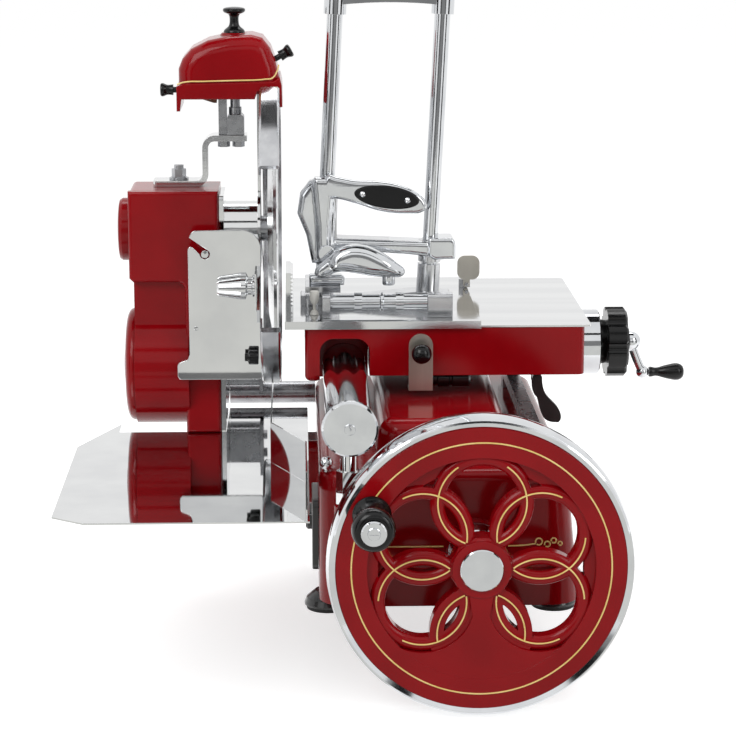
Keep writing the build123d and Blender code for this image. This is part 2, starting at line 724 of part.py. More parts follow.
# ============================ blade ==========================================
with BuildPart() as blade:
    # hollow ground disc: the rim lies in the cutting plane and the middle is dished away
    rim_x = blade_plane
    turned((rim_x, blade_y, blade_z), (-1, 0, 0),
           [(blade_shaft_radius + press_gap, blade_dish), (blade_radius * 0.62, blade_dish),
            (blade_radius * 0.80, 1.2), (blade_radius - 6, 0), (blade_radius, 0),
            (blade_radius, 0.4), (blade_radius - 13, blade_thickness),
            (blade_radius * 0.78, 1.2 + blade_thickness),
            (blade_radius * 0.60, blade_dish + blade_thickness),
            (blade_shaft_radius + press_gap, blade_dish + blade_thickness)])
    # clamping disc on the table side, flush below the cutting plane, with three screws
    turned((blade_plane - blade_dish + seat_gap, blade_y, blade_z), (1, 0, 0),
           [(0, 0), (34, 0), (34, 3), (31, 4), (0, 4)])
    for angle in (90, 210, 330):
        dy, dz = face_point(24, angle)
        turned((blade_plane - blade_dish + 3.9, blade_y + dy, blade_z + dz), (1, 0, 0),
               [(0, 0), (4, 0), (3.4, 1.4), (0, 1.6)])
keep(blade, "blade")

with BuildPart() as blade_shaft:
    rod((chain_x - 12, blade_y, blade_z), (blade_plane - blade_dish, blade_y, blade_z),
        blade_shaft_radius)
    # the sprocket is cut on the shaft's own shoulder
    sprocket(chain_x, blade_z, blade_sprocket_radius, 16, 6, blade_shaft_radius - 5)
keep(blade_shaft, "blade_shaft")

# ============================ ring guard =====================================
ring_left = ring_right - ring_width
with BuildPart() as guard_ring:
    # channel round the blade's edge, open at the front where the blade cuts
    turned((ring_left, blade_y, blade_z), (1, 0, 0),
           [(ring_inner, 0), (ring_outer - 2, 0), (ring_outer, 2), (ring_outer, ring_width - 2),
            (ring_outer - 2, ring_width), (ring_inner, ring_width)])
    turned((spider_x, blade_y, blade_z), (1, 0, 0),
           [(ring_inner - 14, 0), (ring_inner + 2, 0), (ring_inner + 2, 2.5), (ring_inner - 14, 2.5)])
    # open front, where the blade cuts
    mouth_y = (ring_outer + 20) * cos(radians(ring_mouth))
    mouth_z = (ring_outer + 20) * sin(radians(ring_mouth))
    profile(Plane.YZ.offset(ring_left - 20),
            [(blade_y, blade_z), (blade_y - mouth_y, blade_z + mouth_z),
             (blade_y - 1.3 * ring_outer, blade_z), (blade_y - mouth_y, blade_z - mouth_z)],
            ring_width + 40, mode=Mode.SUBTRACT)
    # gap at the top, under the sharpener: only the inner flange runs on
    with BuildSketch(Plane.YZ.offset(ring_left - 20)) as top_gap:
        with BuildLine():
            Polyline((blade_y, blade_z), (blade_y - ring_gap_half, blade_z + ring_outer),
                     (blade_y - ring_gap_half, blade_z + ring_outer + 20),
                     (blade_y + ring_gap_half, blade_z + ring_outer + 20),
                     (blade_y + ring_gap_half, blade_z + ring_outer), close=True)
        make_face()
        with Locations((blade_y, blade_z)):
            Circle(ring_inner - 7.5, mode=Mode.SUBTRACT)
    extrude(top_gap.sketch, amount=ring_width + 40, mode=Mode.SUBTRACT)
keep(guard_ring, "guard_ring")

block_y = blade_y + 84
tie_y = blade_y + 102
tie_z = 134
stop_y = -4
stop_z = 212
with BuildPart() as guard_supports:
    # cast block on the case plate, with the clamp and stud that hold the ring's lower back
    block(case_right + seat_gap * 2 + plate_thickness, case_right + 38, block_y - 19, block_y + 19,
          148, 188)
    fillet(guard_supports.edges().filter_by(Axis.X), 5)
    block(case_right + 38, case_right + 42, block_y - 21, block_y + 21, 144, 190)
    for z in (157, 177):
        hexagon((case_right + 42, block_y - 11, z), (case_right + 46, block_y - 11, z), 9)
    block(case_right + 38, spider_x - seat_gap, block_y - 8, block_y + 8, 176, 204)
    # burnished bar between the case plate's ear and the base's left wall
    rod((case_right + 2 * seat_gap + plate_thickness, tie_y, tie_z),
        (base_left - seat_gap, tie_y, tie_z), 12)
keep(guard_supports, "guard_supports")

# ============================ slice deflector ================================
deflector_y = 8
deflector_sheet = 2
with BuildPart() as deflector_plate:
    # bright sheet with a keyhole slot in its left edge and a flared lower corner
    deflector_right = spider_x - 10
    with BuildSketch(Plane(origin=(0, deflector_y, 0), x_dir=(1, 0, 0), z_dir=(0, -1, 0))):
        with BuildLine():
            Polyline((-247, 341), (deflector_right - 8, 341), (deflector_right, 332),
                     (deflector_right, 186), (-256, 186), (-260, 192), (-258, 203), (-247, 210),
                     (-246, 318), (-241, 324), (-232, 316), (-228, 320), (-248, 336), close=True)
        make_face()
        with Locations((-229, 317)):
            Circle(5, mode=Mode.SUBTRACT)
        with Locations((-229, 239)):
            Circle(1.6, mode=Mode.SUBTRACT)
    extrude(amount=deflector_sheet)
    # flange that lies on the ring arm
    block(deflector_right, spider_x - spider_thickness - seat_gap - 0.2, deflector_y - deflector_sheet,
          deflector_y, 262, 312)
    block(spider_x - spider_thickness - seat_gap - 2.2, spider_x - spider_thickness - seat_gap - 0.2,
          -18, deflector_y, 262, 300)
keep(deflector_plate, "deflector_plate")

knob_y = -6
knob_z = 284
flange_left = spider_x - spider_thickness - seat_gap - 2.2
with BuildPart() as deflector_knob:
    # tapered, flatted clamp knob and its hexagon nut
    turned((flange_left - seat_gap, knob_y, knob_z), (-1, 0, 0),
           [(0, 0), (9, 0), (9, 2), (7, 3), (7, 7), (11.5, 9), (11.5, 14), (8, 36), (6.5, 38), (0, 38)])
keep(deflector_knob, "deflector_knob")

# ============================ tray ===========================================
with BuildPart() as receiving_tray:
    with BuildSketch(Plane.XY.offset(tray_top - tray_sheet)):
        with BuildLine():
            Polyline((tray_left + 30, tray_front), (tray_right, tray_front), (tray_right, tray_back),
                     (case_right + plate_thickness + 2 * seat_gap, tray_back), (case_right + plate_thickness + 2 * seat_gap, 34),
                     (case_left - 14, 34), (case_left - 14, 70), (tray_left, -27),
                     (tray_left, tray_front + 22), close=True)
        make_face()
    extrude(amount=tray_sheet)
    # upstand on the base side, which keeps slices off the drive
    wall_path = [(tray_right - 36, tray_back - 40), (tray_right - 36, -92), (tray_right - 2, -170),
                 (tray_right - 2, tray_front + 24)]
    inner_path = [(x - tray_sheet, y - tray_sheet * 0.4) for x, y in wall_path]
    with BuildSketch(Plane.XY.offset(tray_top)):
        with BuildLine():
            Polyline(*wall_path, *reversed(inner_path), close=True)
        make_face()
    extrude(amount=tray_wall_top - tray_top)
keep(receiving_tray, "receiving_tray")

# ============================ guide rod and rail =============================
with BuildPart() as guide_rod:
    rod((rod_x, rod_front, rod_z), (rod_x, rod_back, rod_z), rod_radius)
    # end caps, each with its slotted screw
    for y, way in ((rod_front - seat_gap, -1), (rod_back + seat_gap, 1)):
        turned((rod_x, y, rod_z), (0, way, 0),
               [(0, 0), (rod_cap_radius - 1, 0), (rod_cap_radius, 1), (rod_cap_radius, rod_cap_length - 2),
                (rod_cap_radius - 2, rod_cap_length), (0, rod_cap_length)])
        turned((rod_x, y + way * (rod_cap_length - 0.2), rod_z), (0, way, 0),
               [(0, 0), (5.2, 0), (4.8, 1), (0, 1.4)])
keep(guide_rod, "guide_rod")

ear_top = base_top - 26
with BuildPart() as rod_posts:
    # front post: hexagon foot and round neck under the rod; back post: plain pillar
    hexagon((rod_x, post_front_y, ear_top + seat_gap), (rod_x, post_front_y, 153), 21)
    rod((rod_x, post_front_y, 153), (rod_x, post_front_y, rod_z - 14), 8.5)
    hexagon((rod_x, post_back_y, base_top + seat_gap), (rod_x, post_back_y, 162), 21)
    rod((rod_x, post_back_y, 162), (rod_x, post_back_y, rod_z - 14), 8.5)
    rod((rod_x, rod_front - 10, rod_z), (rod_x, rod_back + 10, rod_z), rod_radius + seat_gap,
        mode=Mode.SUBTRACT)
keep(rod_posts, "rod_posts")

with BuildPart() as right_rail:
    # flat rail on two grey posts, which carries the carriage's roller side
    block(rail_x - rail_width / 2, rail_x + rail_width / 2, -200, 200, rail_top - rail_height, rail_top)
    for y in (-150, 150):
        block(rail_x - rail_width / 2, rail_x + rail_width / 2, y - 12, y + 12, base_top + seat_gap,
              rail_top - rail_height)
keep(right_rail, "right_rail")

# ============================ carriage =======================================
tunnel_half = rod_radius + tunnel_clearance
tunnel_top = rod_z + rod_radius + 16
screw_wall = -54          # right face of the wall that holds the screw's left end
slot_left = screw_wall + 0.5
slot_right = table_right - 3
nut_half = 4
nut_x = slot_left + nut_half + 0.5
carriage_mid_y = (carriage_front + carriage_back) / 2

with BuildPart() as carriage_body:
    with BuildSketch(Plane.XY.offset(carriage_bottom)):
        with Locations(((carriage_left + carriage_right) / 2, carriage_mid_y)):
            Rectangle(carriage_right - carriage_left, carriage_back - carriage_front)
    extrude(amount=carriage_top - carriage_bottom)
    # the left end reaches a little lower, round the guide rod
    block(carriage_left, rod_x - tunnel_half + 2, carriage_front, carriage_back, carriage_bottom - 6,
          carriage_bottom + 10)
    fillet(carriage_body.edges().filter_by(Axis.Z), 8)
    fillet(carriage_body.faces().sort_by(Axis.Z)[0].edges().filter_by(Axis.Y), 5)
    # hollow from below
    block(rod_x + tunnel_half + 4, carriage_right - carriage_wall, carriage_front + carriage_wall,
          carriage_back - carriage_wall, carriage_bottom - 1, carriage_top - carriage_wall,
          mode=Mode.SUBTRACT)
    # arched tunnel for the guide rod, from end to end
    with BuildSketch(Plane.XZ.offset(-carriage_back - 1)) as tunnel:
        with Locations((rod_x, (tunnel_top - 14 + carriage_bottom - 8) / 2)):
            Rectangle(2 * tunnel_half, tunnel_top - 14 - carriage_bottom + 8)
        with Locations((rod_x, tunnel_top - 14)):
            SlotCenterToCenter(2 * tunnel_half - 28, 28)
    extrude(amount=carriage_back - carriage_front + 2, mode=Mode.SUBTRACT)
    # slot in the top for the nut's lug
    block(slot_left, slot_right, screw_y - 9, screw_y + 9, carriage_top - carriage_wall - 1,
          carriage_top + 1, mode=Mode.SUBTRACT)
    # inner end wall for the screw's left end, then the screw's bearings in both walls
    block(rod_x + tunnel_half + 3, screw_wall, screw_y - 14, screw_y + 14, carriage_bottom,
          carriage_top - carriage_wall)
    rod((screw_left - 0.5, screw_y, screw_z), (carriage_right + 1, screw_y, screw_z),
        screw_radius + fit_gap, mode=Mode.SUBTRACT)
keep(carriage_body, "carriage_body")

with BuildPart() as rod_bushes:
    # two split bearings that hang from the tunnel's roof and run on the guide rod
    for y in (carriage_front + 70, carriage_back - 30):
        with BuildSketch(Plane.XZ.offset(-y)):
            with Locations((rod_x, rod_z + 6)):
                Rectangle(2 * tunnel_half - 0.6, 2 * rod_radius - 6)
            with Locations((rod_x, rod_z)):
                Circle(rod_radius + fit_gap, mode=Mode.SUBTRACT)
        extrude(amount=14)
        with BuildSketch(Plane.XZ.offset(-y)):
            with Locations((rod_x, rod_z + rod_radius + 5)):
                Rectangle(2 * tunnel_half - 14, 8)
        extrude(amount=14)
keep(rod_bushes, "rod_bushes")

with BuildPart() as cover_plate:
    # bright plate over the carriage, slotted under the meat table
    block(carriage_left - 1, carriage_right + cover_over, carriage_front - 1, carriage_back + 32,
          carriage_top + 0.1, carriage_top + cover_thickness)
    fillet(cover_plate.edges().filter_by(Axis.Z), 4)
    block(slot_left, slot_right, screw_y - 8, screw_y + 8, carriage_top - 1, carriage_top + 5,
          mode=Mode.SUBTRACT)
keep(cover_plate, "cover_plate")

catch_x = -14
catch_travel = 8
trip_x = 105
trip_y = -30
trip_z = 194
roller_radius = (carriage_bottom + 12 - rail_top) / 2
roller_y = carriage_mid_y + 50
with BuildPart() as carriage_brackets:
    # bracket under the carriage's right side that holds the rail roller
    block(rail_x - rail_width / 2 - 6, rail_x - rail_width / 2 - 3, roller_y - 14,
          roller_y + 14, rail_top + 2, carriage_top - carriage_wall - seat_gap)
    rod((rail_x - rail_width / 2 - 4, roller_y, rail_top + seat_gap + roller_radius),
        (rail_x + rail_width / 2 + 2, roller_y, rail_top + seat_gap + roller_radius), 4)
    # black ribbed plunger housing beside the catch
    turned((catch_x + 14, carriage_front + 30, 192), (1, 0, 0),
           [(0, 0), (7, 0), (7, 4), (9, 5), (9, 16), (7.5, 17), (7.5, 19), (9, 20), (9, 36), (6, 38), (0, 38)])
    block(catch_x + 20, catch_x + 44, carriage_front + 24, carriage_front + 36, 196,
          carriage_top - carriage_wall - seat_gap)
    # lug and pivot pin of the feed trip lever
    block(trip_x - 5, trip_x + 5, trip_y + 10 + seat_gap, trip_y + 16, trip_z - 4,
          carriage_top - carriage_wall - seat_gap)
    rod((trip_x, trip_y - 1, trip_z), (trip_x, trip_y + 12, trip_z), 3)
keep(carriage_brackets, "carriage_brackets")

with BuildPart() as rail_roller:
    tube((rail_x - rail_width / 2 - 2, roller_y, rail_top + seat_gap + roller_radius),
         (rail_x + rail_width / 2, roller_y, rail_top + seat_gap + roller_radius),
         roller_radius, 4 + fit_gap)
keep(rail_roller, "rail_roller")

with BuildPart() as catch_plate:
    # bright strap on the carriage's face: round top, folded foot, and a stem for the ball
    with BuildSketch(Plane(origin=(catch_x, carriage_front - seat_gap, 0), x_dir=(1, 0, 0),
                           z_dir=(0, -1, 0))):
        with Locations((0, 210)):
            Rectangle(24, 44)
        with Locations((0, 232)):
            Circle(12)
    extrude(amount=2.5)
    block(catch_x - 12, catch_x + 12, carriage_front - seat_gap - 2.5, carriage_front + 16, 186, 188)
    rod((catch_x, carriage_front - 2, 227), (catch_x, carriage_front - 14, 227), 4)
keep(catch_plate, "catch_plate")

with BuildPart() as catch_ball:
    with Locations((catch_x, carriage_front - 19, 227)):
        Sphere(10)
    rod((catch_x, carriage_front - 14 - seat_gap, 227), (catch_x, carriage_front, 227), 4 + fit_gap,
        mode=Mode.SUBTRACT)
    rod((catch_x, carriage_front - 14, 227), (catch_x, carriage_front, 227), 11, mode=Mode.SUBTRACT)
keep(catch_ball, "catch_ball")

# ============================ feed screw and knobs ===========================
collar_left = carriage_right + seat_gap
collar_right = collar_left + collar_length
knob_left = collar_right + neck_length - 2
knob_right = knob_left + knob_length
ball_x = knob_right + 6

with BuildPart() as feed_collar:
    turned((collar_left, screw_y, screw_z), (1, 0, 0),
           [(screw_radius + 1, 0), (collar_radius - 1, 0), (collar_radius, 1),
            (collar_radius, collar_length - 1), (collar_radius - 1, collar_length),
            (screw_radius + 1, collar_length)])
keep(feed_collar, "feed_collar")

with BuildPart() as thickness_knob:
    # black neck and fluted hand wheel that sets the slice thickness
    turned((collar_right + seat_gap, screw_y, screw_z), (1, 0, 0),
           [(screw_radius + fit_gap, 0), (neck_radius, 0), (neck_radius - 2, neck_length),
            (screw_radius + fit_gap, neck_length)])
    with BuildSketch(Plane.YZ.offset(knob_left)):
        with Locations((screw_y, screw_z)):
            Circle(knob_radius)
            with PolarLocations(knob_radius + 3, knob_lobes):
                Circle(7, mode=Mode.SUBTRACT)
            Circle(screw_radius + fit_gap, mode=Mode.SUBTRACT)
    extrude(amount=knob_length)
    chamfer(thickness_knob.faces().sort_by(Axis.X)[-1].outer_wire().edges(), 2.5)
    rod((knob_right - 6, screw_y, screw_z), (knob_right + 1, screw_y, screw_z), 11.5, mode=Mode.SUBTRACT)
keep(thickness_knob, "thickness_knob")

with BuildPart() as feed_screw:
    rod((screw_left, screw_y, screw_z), (ball_x, screw_y, screw_z), screw_radius)
    # crank: ball on the screw's end and a swan-neck arm down to the grip's ball
    with Locations((ball_x, screw_y, screw_z)):
        Sphere(10.5)
    arm_end = (ball_x + 13, screw_y, screw_z - crank_drop)
    with BuildLine() as arm_line:
        Spline((ball_x, screw_y, screw_z), (ball_x + 5, screw_y, screw_z - crank_drop * 0.45), arm_end)
    with BuildSketch(Plane(origin=arm_line.line @ 0, z_dir=arm_line.line % 0)):
        Circle(4.6)
    sweep()
    with Locations(arm_end):
        Sphere(6.8)
    rod(arm_end, (arm_end[0] + crank_grip_length + 4, arm_end[1], arm_end[2]), 2.5)
keep(feed_screw, "feed_screw")

with BuildPart() as crank_grip:
    lathe((arm_end[0] + 6.8, screw_y, arm_end[2]), (1, 0, 0),
          [(5, 0), (5.4, 2), (4.6, 6), (6, 14), (8.4, 24), (9, 29), (7.6, 34), (3, crank_grip_length)])
    rod(arm_end, (arm_end[0] + crank_grip_length + 4.2, arm_end[1], arm_end[2]), 2.5 + fit_gap,
        mode=Mode.SUBTRACT)
keep(crank_grip, "crank_grip")

# ============================ meat table =====================================
table_bottom = carriage_top + cover_thickness + seat_gap
table_top = table_bottom + table_thickness
with BuildPart() as meat_table:
    block(table_left, table_right, table_front + bar_depth, table_back, table_bottom, table_top)
    # thick front bar with a rounded right end, and the lug down to the feed nut
    block(table_left, table_right, table_front, table_front + bar_depth + 0.5, table_bottom,
          table_bottom - 2.8 + bar_height)
    block(table_left, table_right, table_front, carriage_front - 1.5, table_bottom - 2.8, table_bottom)
    fillet(meat_table.edges().filter_by(Axis.Z).sort_by(Axis.X)[-2:], 3)
    block(nut_x - nut_half, nut_x + nut_half, screw_y - 6, screw_y + 6, screw_z - 12, table_bottom + 1)
    rod((nut_x - nut_half - 1, screw_y, screw_z), (nut_x + nut_half + 1, screw_y, screw_z),
        screw_radius + 0.4, mode=Mode.SUBTRACT)
keep(meat_table, "meat_table")

with BuildPart() as tooth_plate:
    # upright end plate beside the blade, its inner face cut in rows of teeth
    block(table_left + 1, table_left + 6, press_y - 34, press_y + 40, table_top, table_top + 38)
    for row in range(9):
        z = table_top + 4 + row * 4
        profile(Plane(origin=(0, press_y - 32, 0), x_dir=(1, 0, 0), z_dir=(0, 1, 0)),
                [(table_left + 5.5, -z - 1.6), (table_left + 5.5, -z + 1.6), (table_left + 8.5, -z)], 70)
keep(tooth_plate, "tooth_plate")

# ============================ press ==========================================
tilt_x = sin(radians(column_tilt))
tilt_z = cos(radians(column_tilt))
lean = tan(radians(column_tilt))


def column_at(side, z):
    """Centre of the left (0) or right (1) column at a height."""
    return (left_column_x + side * column_spacing + lean * (z - table_top), press_y, z)


base_bar_top = table_top + 14
with BuildPart() as press_base:
    # polished casting on the table with a split socket for each column
    profile(Plane(origin=(0, press_y - 14, 0), x_dir=(1, 0, 0), z_dir=(0, 1, 0)),
            [(left_column_x - 22, -table_top - seat_gap), (left_column_x + column_spacing + 24, -table_top - seat_gap),
             (left_column_x + column_spacing + 24, -base_bar_top + 2),
             (left_column_x + column_spacing - 14, -base_bar_top),
             (left_column_x + 30, -base_bar_top + 6), (left_column_x - 22, -base_bar_top + 3)], 28)
    fillet(press_base.edges().filter_by(Axis.Y), 1.5)
    for side in (0, 1):
        foot = column_at(side, base_bar_top - 4)
        rod(foot, column_at(side, base_bar_top + 3 + side * 25), column_radius + 4)
        rod(column_at(side, table_top + 3), column_at(side, base_bar_top + 40),
            column_radius + press_gap, mode=Mode.SUBTRACT)
keep(press_base, "press_base")

with BuildPart() as press_frame:
    for side in (0, 1):
        rod(column_at(side, table_top + 3.3), column_at(side, column_top), column_radius)
    # slightly arched bar that ties the columns' tops
    yoke_left = column_at(0, column_top)[0]
    yoke_right = column_at(1, column_top)[0]
    with BuildSketch(Plane(origin=(0, press_y - 9, 0), x_dir=(1, 0, 0), z_dir=(0, 1, 0))):
        with BuildLine():
            ThreePointArc((yoke_left, -column_top - yoke_height),
                          ((yoke_left + yoke_right) / 2, -column_top - yoke_height - 2),
                          (yoke_right, -column_top - yoke_height))
            Line((yoke_right, -column_top - yoke_height), (yoke_right, -column_top - yoke_height + 6))
            ThreePointArc((yoke_right, -column_top - yoke_height + 6),
                          ((yoke_left + yoke_right) / 2, -column_top - yoke_height + 3),
                          (yoke_left, -column_top - yoke_height + 6))
            Line((yoke_left, -column_top - yoke_height + 6), (yoke_left, -column_top - yoke_height))
        make_face()
    extrude(amount=18)
    for side in (0, 1):
        rod(column_at(side, column_top - 4), column_at(side, column_top + yoke_height), column_radius + 3.5)
keep(press_frame, "press_frame")

arm_z = 316               # middle of the press's cross arm, at rest
lever_pin = (column_at(0, 297)[0] + 2, 297)
lever_y = press_y - 44
arm_height = 20
slider_top = 386
with BuildPart() as press_slider:
    # cross arm with a long sleeve on the left column and an end block on the right one
    left = column_at(0, arm_z)[0]
    right = column_at(1, arm_z)[0]
    with BuildSketch(Plane(origin=(0, press_y - 13, 0), x_dir=(1, 0, 0), z_dir=(0, 1, 0))):
        with BuildLine():
            Polyline((left + 8, -arm_z - 10), (right + 12, -arm_z - 5))
            Line((right + 12, -arm_z - 5), (right + 22, -arm_z - 5))
            Line((right + 22, -arm_z - 5), (right + 22, -arm_z + 12))
            Line((right + 22, -arm_z + 12), (right + 4, -arm_z + 12))
            ThreePointArc((right + 4, -arm_z + 12), ((left + right) / 2, -arm_z + 3),
                          (left + 8, -arm_z + 8))
            Line((left + 8, -arm_z + 8), (left + 8, -arm_z - 10))
        make_face()
    extrude(amount=26)
    fillet(press_slider.edges().filter_by(Axis.Y), 2)
    rod(column_at(0, arm_z - 12), column_at(0, slider_top), column_radius + 4)
    rod(column_at(1, arm_z - 16), column_at(1, arm_z + 6), column_radius + 4)
    # clamp body on the sleeve's front, between the hub of the handle and the lever's pin
    profile(Plane(origin=(0, press_y - 14, 0), x_dir=(1, 0, 0), z_dir=(0, 1, 0)),
            [(left - 24, -352), (left - 20, -376), (left - 8, -slider_top), (left + 12, -slider_top + 2),
             (left + 13, -arm_z + 6), (left - 8, -arm_z + 8), (left - 14, -330)], 10, rounding=3)
    # foot bracket and pressing plate
    block(left - 20, left + 16, press_y - 40, press_y + 34, 274, 280)
    block(left - 6, left + 6, press_y - 15, press_y - 8, 278, arm_z)
    for side in (0, 1):
        rod(column_at(side, arm_z - 60), column_at(side, slider_top + 20), column_radius + fit_gap,
            mode=Mode.SUBTRACT)
    # shouldered pin of the lever, and the large flat pin head above it
    turned((lever_pin[0], lever_y - 1.6, lever_pin[1]), (0, 1, 0),
           [(0, 0), (6, 0), (6, 1.3), (4, 1.3), (4, 14), (4, 30), (0, 30)])
    rod((column_at(0, 311)[0], press_y - 14, 311), (column_at(0, 311)[0], press_y - 19, 311), 8.8)
keep(press_slider, "press_slider")

handle_y = press_y - 22
handle_pin_z = 372
handle_pin_x = column_at(0, handle_pin_z)[0]
grip_centre = (handle_pin_x + 61, handle_pin_z - 2)
with BuildPart() as press_handle:
    # chromed lifting handle: hub, and a leaf shaped frame round the grip
    turned((handle_pin_x, handle_y + 7.5, handle_pin_z), (0, -1, 0), [(0, 0), (13, 0), (13, 12), (11, 14), (0, 14)])
    with BuildSketch(Plane(origin=(handle_pin_x, handle_y, handle_pin_z), x_dir=(1, 0, 0),
                           z_dir=(0, 1, 0))):
        with BuildLine():
            Spline((0, -13), (30, -12), (64, -12), (92, -2), (101, 14),
                   tangents=[(1, 0.1), (-0.1, 1)])
            Line((101, 14), (98, 15))
            Spline((98, 15), (76, 17), (40, 14), (0, 11), tangents=[(-1, 0.3), (-1, 0)])
            Line((0, 11), (0, -13))
        make_face()
    extrude(amount=7)
    for step in (-23, 23):
        x = grip_centre[0] + step
        z = grip_centre[1] - step * tan(radians(8))
        turned((x, handle_y - 5 - seat_gap, z), (0, -1, 0), [(0, 0), (3, 0), (2.4, 1), (0, 1.3)])
        turned((x, handle_y + 12 + seat_gap, z), (0, 1, 0), [(0, 0), (3, 0), (2.4, 1), (0, 1.3)])
keep(press_handle, "press_handle")

with BuildPart() as grip_scales:
    # black oval scales, front and back of the handle's frame
    for y, way in ((handle_y - seat_gap, -1), (handle_y + 7 + seat_gap, 1)):
        with BuildSketch(Plane(origin=(grip_centre[0], y, grip_centre[1]), x_dir=(1, 0, 0),
                               z_dir=(0, way, 0))):
            with Locations(Location((0, 0), way * 8)):
                Ellipse(34, 12)
        extrude(amount=5)
    chamfer(grip_scales.edges().filter_by(GeomType.ELLIPSE).group_by(Axis.Y)[0], 1.8)
    chamfer(grip_scales.edges().filter_by(GeomType.ELLIPSE).group_by(Axis.Y)[-1], 1.8)
keep(grip_scales, "grip_scales")

with BuildPart() as clamp_lever:
    # teardrop cast lever: a slim neck at its pin and a broad, drooping paddle
    with BuildSketch(Plane(origin=(lever_pin[0], lever_y, lever_pin[1]), x_dir=(1, 0, 0),
                           z_dir=(0, 1, 0))):
        with BuildLine():
            Spline((0, -8), (14, -11), (30, -22), (48, -20), (72, -6), (81, 8), (68, 17), (46, 14),
                   (24, 12), (0, 6), tangents=[(1, 0), (-1, 0)])
            ThreePointArc((0, 6), (-7, -1), (0, -8))
        make_face()
    extrude(amount=9)
    rod((lever_pin[0] + 66, lever_y + 4.5, lever_pin[1] - 14), (lever_pin[0] + 66, lever_y + 4.5, lever_pin[1] - 24), 8)
    rod((lever_pin[0], lever_y - 1, lever_pin[1]), (lever_pin[0], lever_y + 10, lever_pin[1]),
        4 + fit_gap, mode=Mode.SUBTRACT)
keep(clamp_lever, "clamp_lever")

vice_y = -12
vice_z = table_top + 15
vice_x0 = left_column_x + 8
vice_x1 = left_column_x + column_spacing + 22
with BuildPart() as vice_spindle:
    # stepped clamp spindle along the table's front, with its rings
    turned((vice_x0, vice_y, vice_z), (1, 0, 0),
           [(0, 0), (6, 0), (6, 2), (7.5, 2), (7.5, 24), (9.5, 24), (9.5, 32), (7.5, 32), (7.5, 50),
            (9.5, 51), (9.5, 53), (7.5, 54), (7.5, 66), (9.5, 66), (9.5, 74), (7.5, 74),
            (7.5, 98), (0, 98)])
keep(vice_spindle, "vice_spindle")

release_x = table_right - 5
release_y = 148
with BuildPart() as table_fittings:
    # end blocks that hold the spindle over the table
    for x0, x1 in ((vice_x0 - 8, vice_x0 - seat_gap), (vice_x0 + 98 + seat_gap, vice_x1)):
        block(x0, x1, vice_y - 9, vice_y + 9, table_top + seat_gap, vice_z + 9)
        fillet(table_fittings.edges().filter_by(Axis.X).group_by(Axis.Z)[-1], 4)
    # upright pins and the waisted bush beside the toothed plate
    for x, y in ((-127, 20), (-118, 24), (-108, 8), (-127, -8)):
        rod((x, y, table_top + seat_gap), (x, y, table_top + 17), 1.6)
    turned((-120, -2, table_top + seat_gap), (0, 0, 1),
           [(0, 0), (4.5, 0), (3, 4), (1.4, 5), (1.4, 10), (3, 12), (4.6, 16), (4.6, 24), (0, 24)])
    # pivot of the release lever
    rod((release_x + 4, release_y - 6, table_top + 4), (release_x + 4, release_y + 8, table_top + 4), 2)
    block(release_x - 4, release_x + 8, release_y + seat_gap, release_y + 8, table_top + seat_gap,
          table_top + 9)
keep(table_fittings, "table_fittings")

with BuildPart() as release_lever:
    # bent nickel tab that frees the table from the feed nut
    with BuildSketch(Plane(origin=(0, release_y, 0), x_dir=(1, 0, 0), z_dir=(0, -1, 0))):
        with Locations((release_x + 6, table_top + 22)):
            RectangleRounded(24, 26, 8)
        with Locations((release_x + 4, table_top + 8)):
            Rectangle(7, 8)
        with Locations((release_x + 4, table_top + 4)):
            Circle(3.5)
            Circle(2 + fit_gap, mode=Mode.SUBTRACT)
    extrude(amount=2.5)
keep(release_lever, "release_lever")

# ============================ sharpener ======================================
strap_top = 430
strap_y = blade_y + 4
with BuildPart() as sharpener_strap:
    # bright strap: foot on the case, bend, riser, bend, shelf under the sharpener
    riser_x = -231
    bend = 10
    with BuildSketch(Plane(origin=(0, strap_y + strap_width / 2, 0), x_dir=(1, 0, 0), z_dir=(0, -1, 0))):
        with BuildLine():
            FilletPolyline((-285, case_top + seat_gap + strap_thickness / 2),
                           (riser_x, case_top + seat_gap + strap_thickness / 2),
                           (riser_x, strap_top - strap_thickness / 2),
                           (-188, strap_top - strap_thickness / 2), radius=bend)
        trace(line_width=strap_thickness)
    extrude(amount=strap_width)
    fillet(sharpener_strap.edges().filter_by(Axis.Z).sort_by(Axis.X)[:2], 4)
keep(sharpener_strap, "sharpener_strap")

block_top = 452
with BuildPart() as sharpener_block:
    # grey block and upright bar on the shelf, with the stud that guides the head
    block(-208, -191, strap_y - 12, strap_y + 12, strap_top + seat_gap, block_top - 1)
    fillet(sharpener_block.edges().filter_by(Axis.Y).group_by(Axis.Z)[-1], 4)
    block(-217, -208 - 0.5, strap_y - 8, strap_y + 8, strap_top + seat_gap, block_top + 30)
    rod((stud_x, strap_y, block_top - 2), (stud_x, strap_y, hood_top - 12), 5)
    rod((stud_x, strap_y, block_top - 2), (stud_x, strap_y, block_top + 6), 6.5)
    # foot bolt with its washer, and two hexagon bolts under the shelf
    foot_bolt = case_top + seat_gap + strap_thickness + 0.1
    rod((-259, strap_y, foot_bolt), (-259, strap_y, foot_bolt + 2), 10)
    hexagon((-259, strap_y, foot_bolt + 2), (-259, strap_y, foot_bolt + 11), 13)
    rod((-259, strap_y, foot_bolt + 11), (-259, strap_y, foot_bolt + 15), 5)
    for x in (-212, -197):
        hexagon((x, strap_y, strap_top - strap_thickness - seat_gap),
                (x, strap_y, strap_top - strap_thickness - 7), 11)
keep(sharpener_block, "sharpener_block")

hood_front = blade_y - hood_depth / 2
hood_back = blade_y + hood_depth / 2
hood_lift = 34


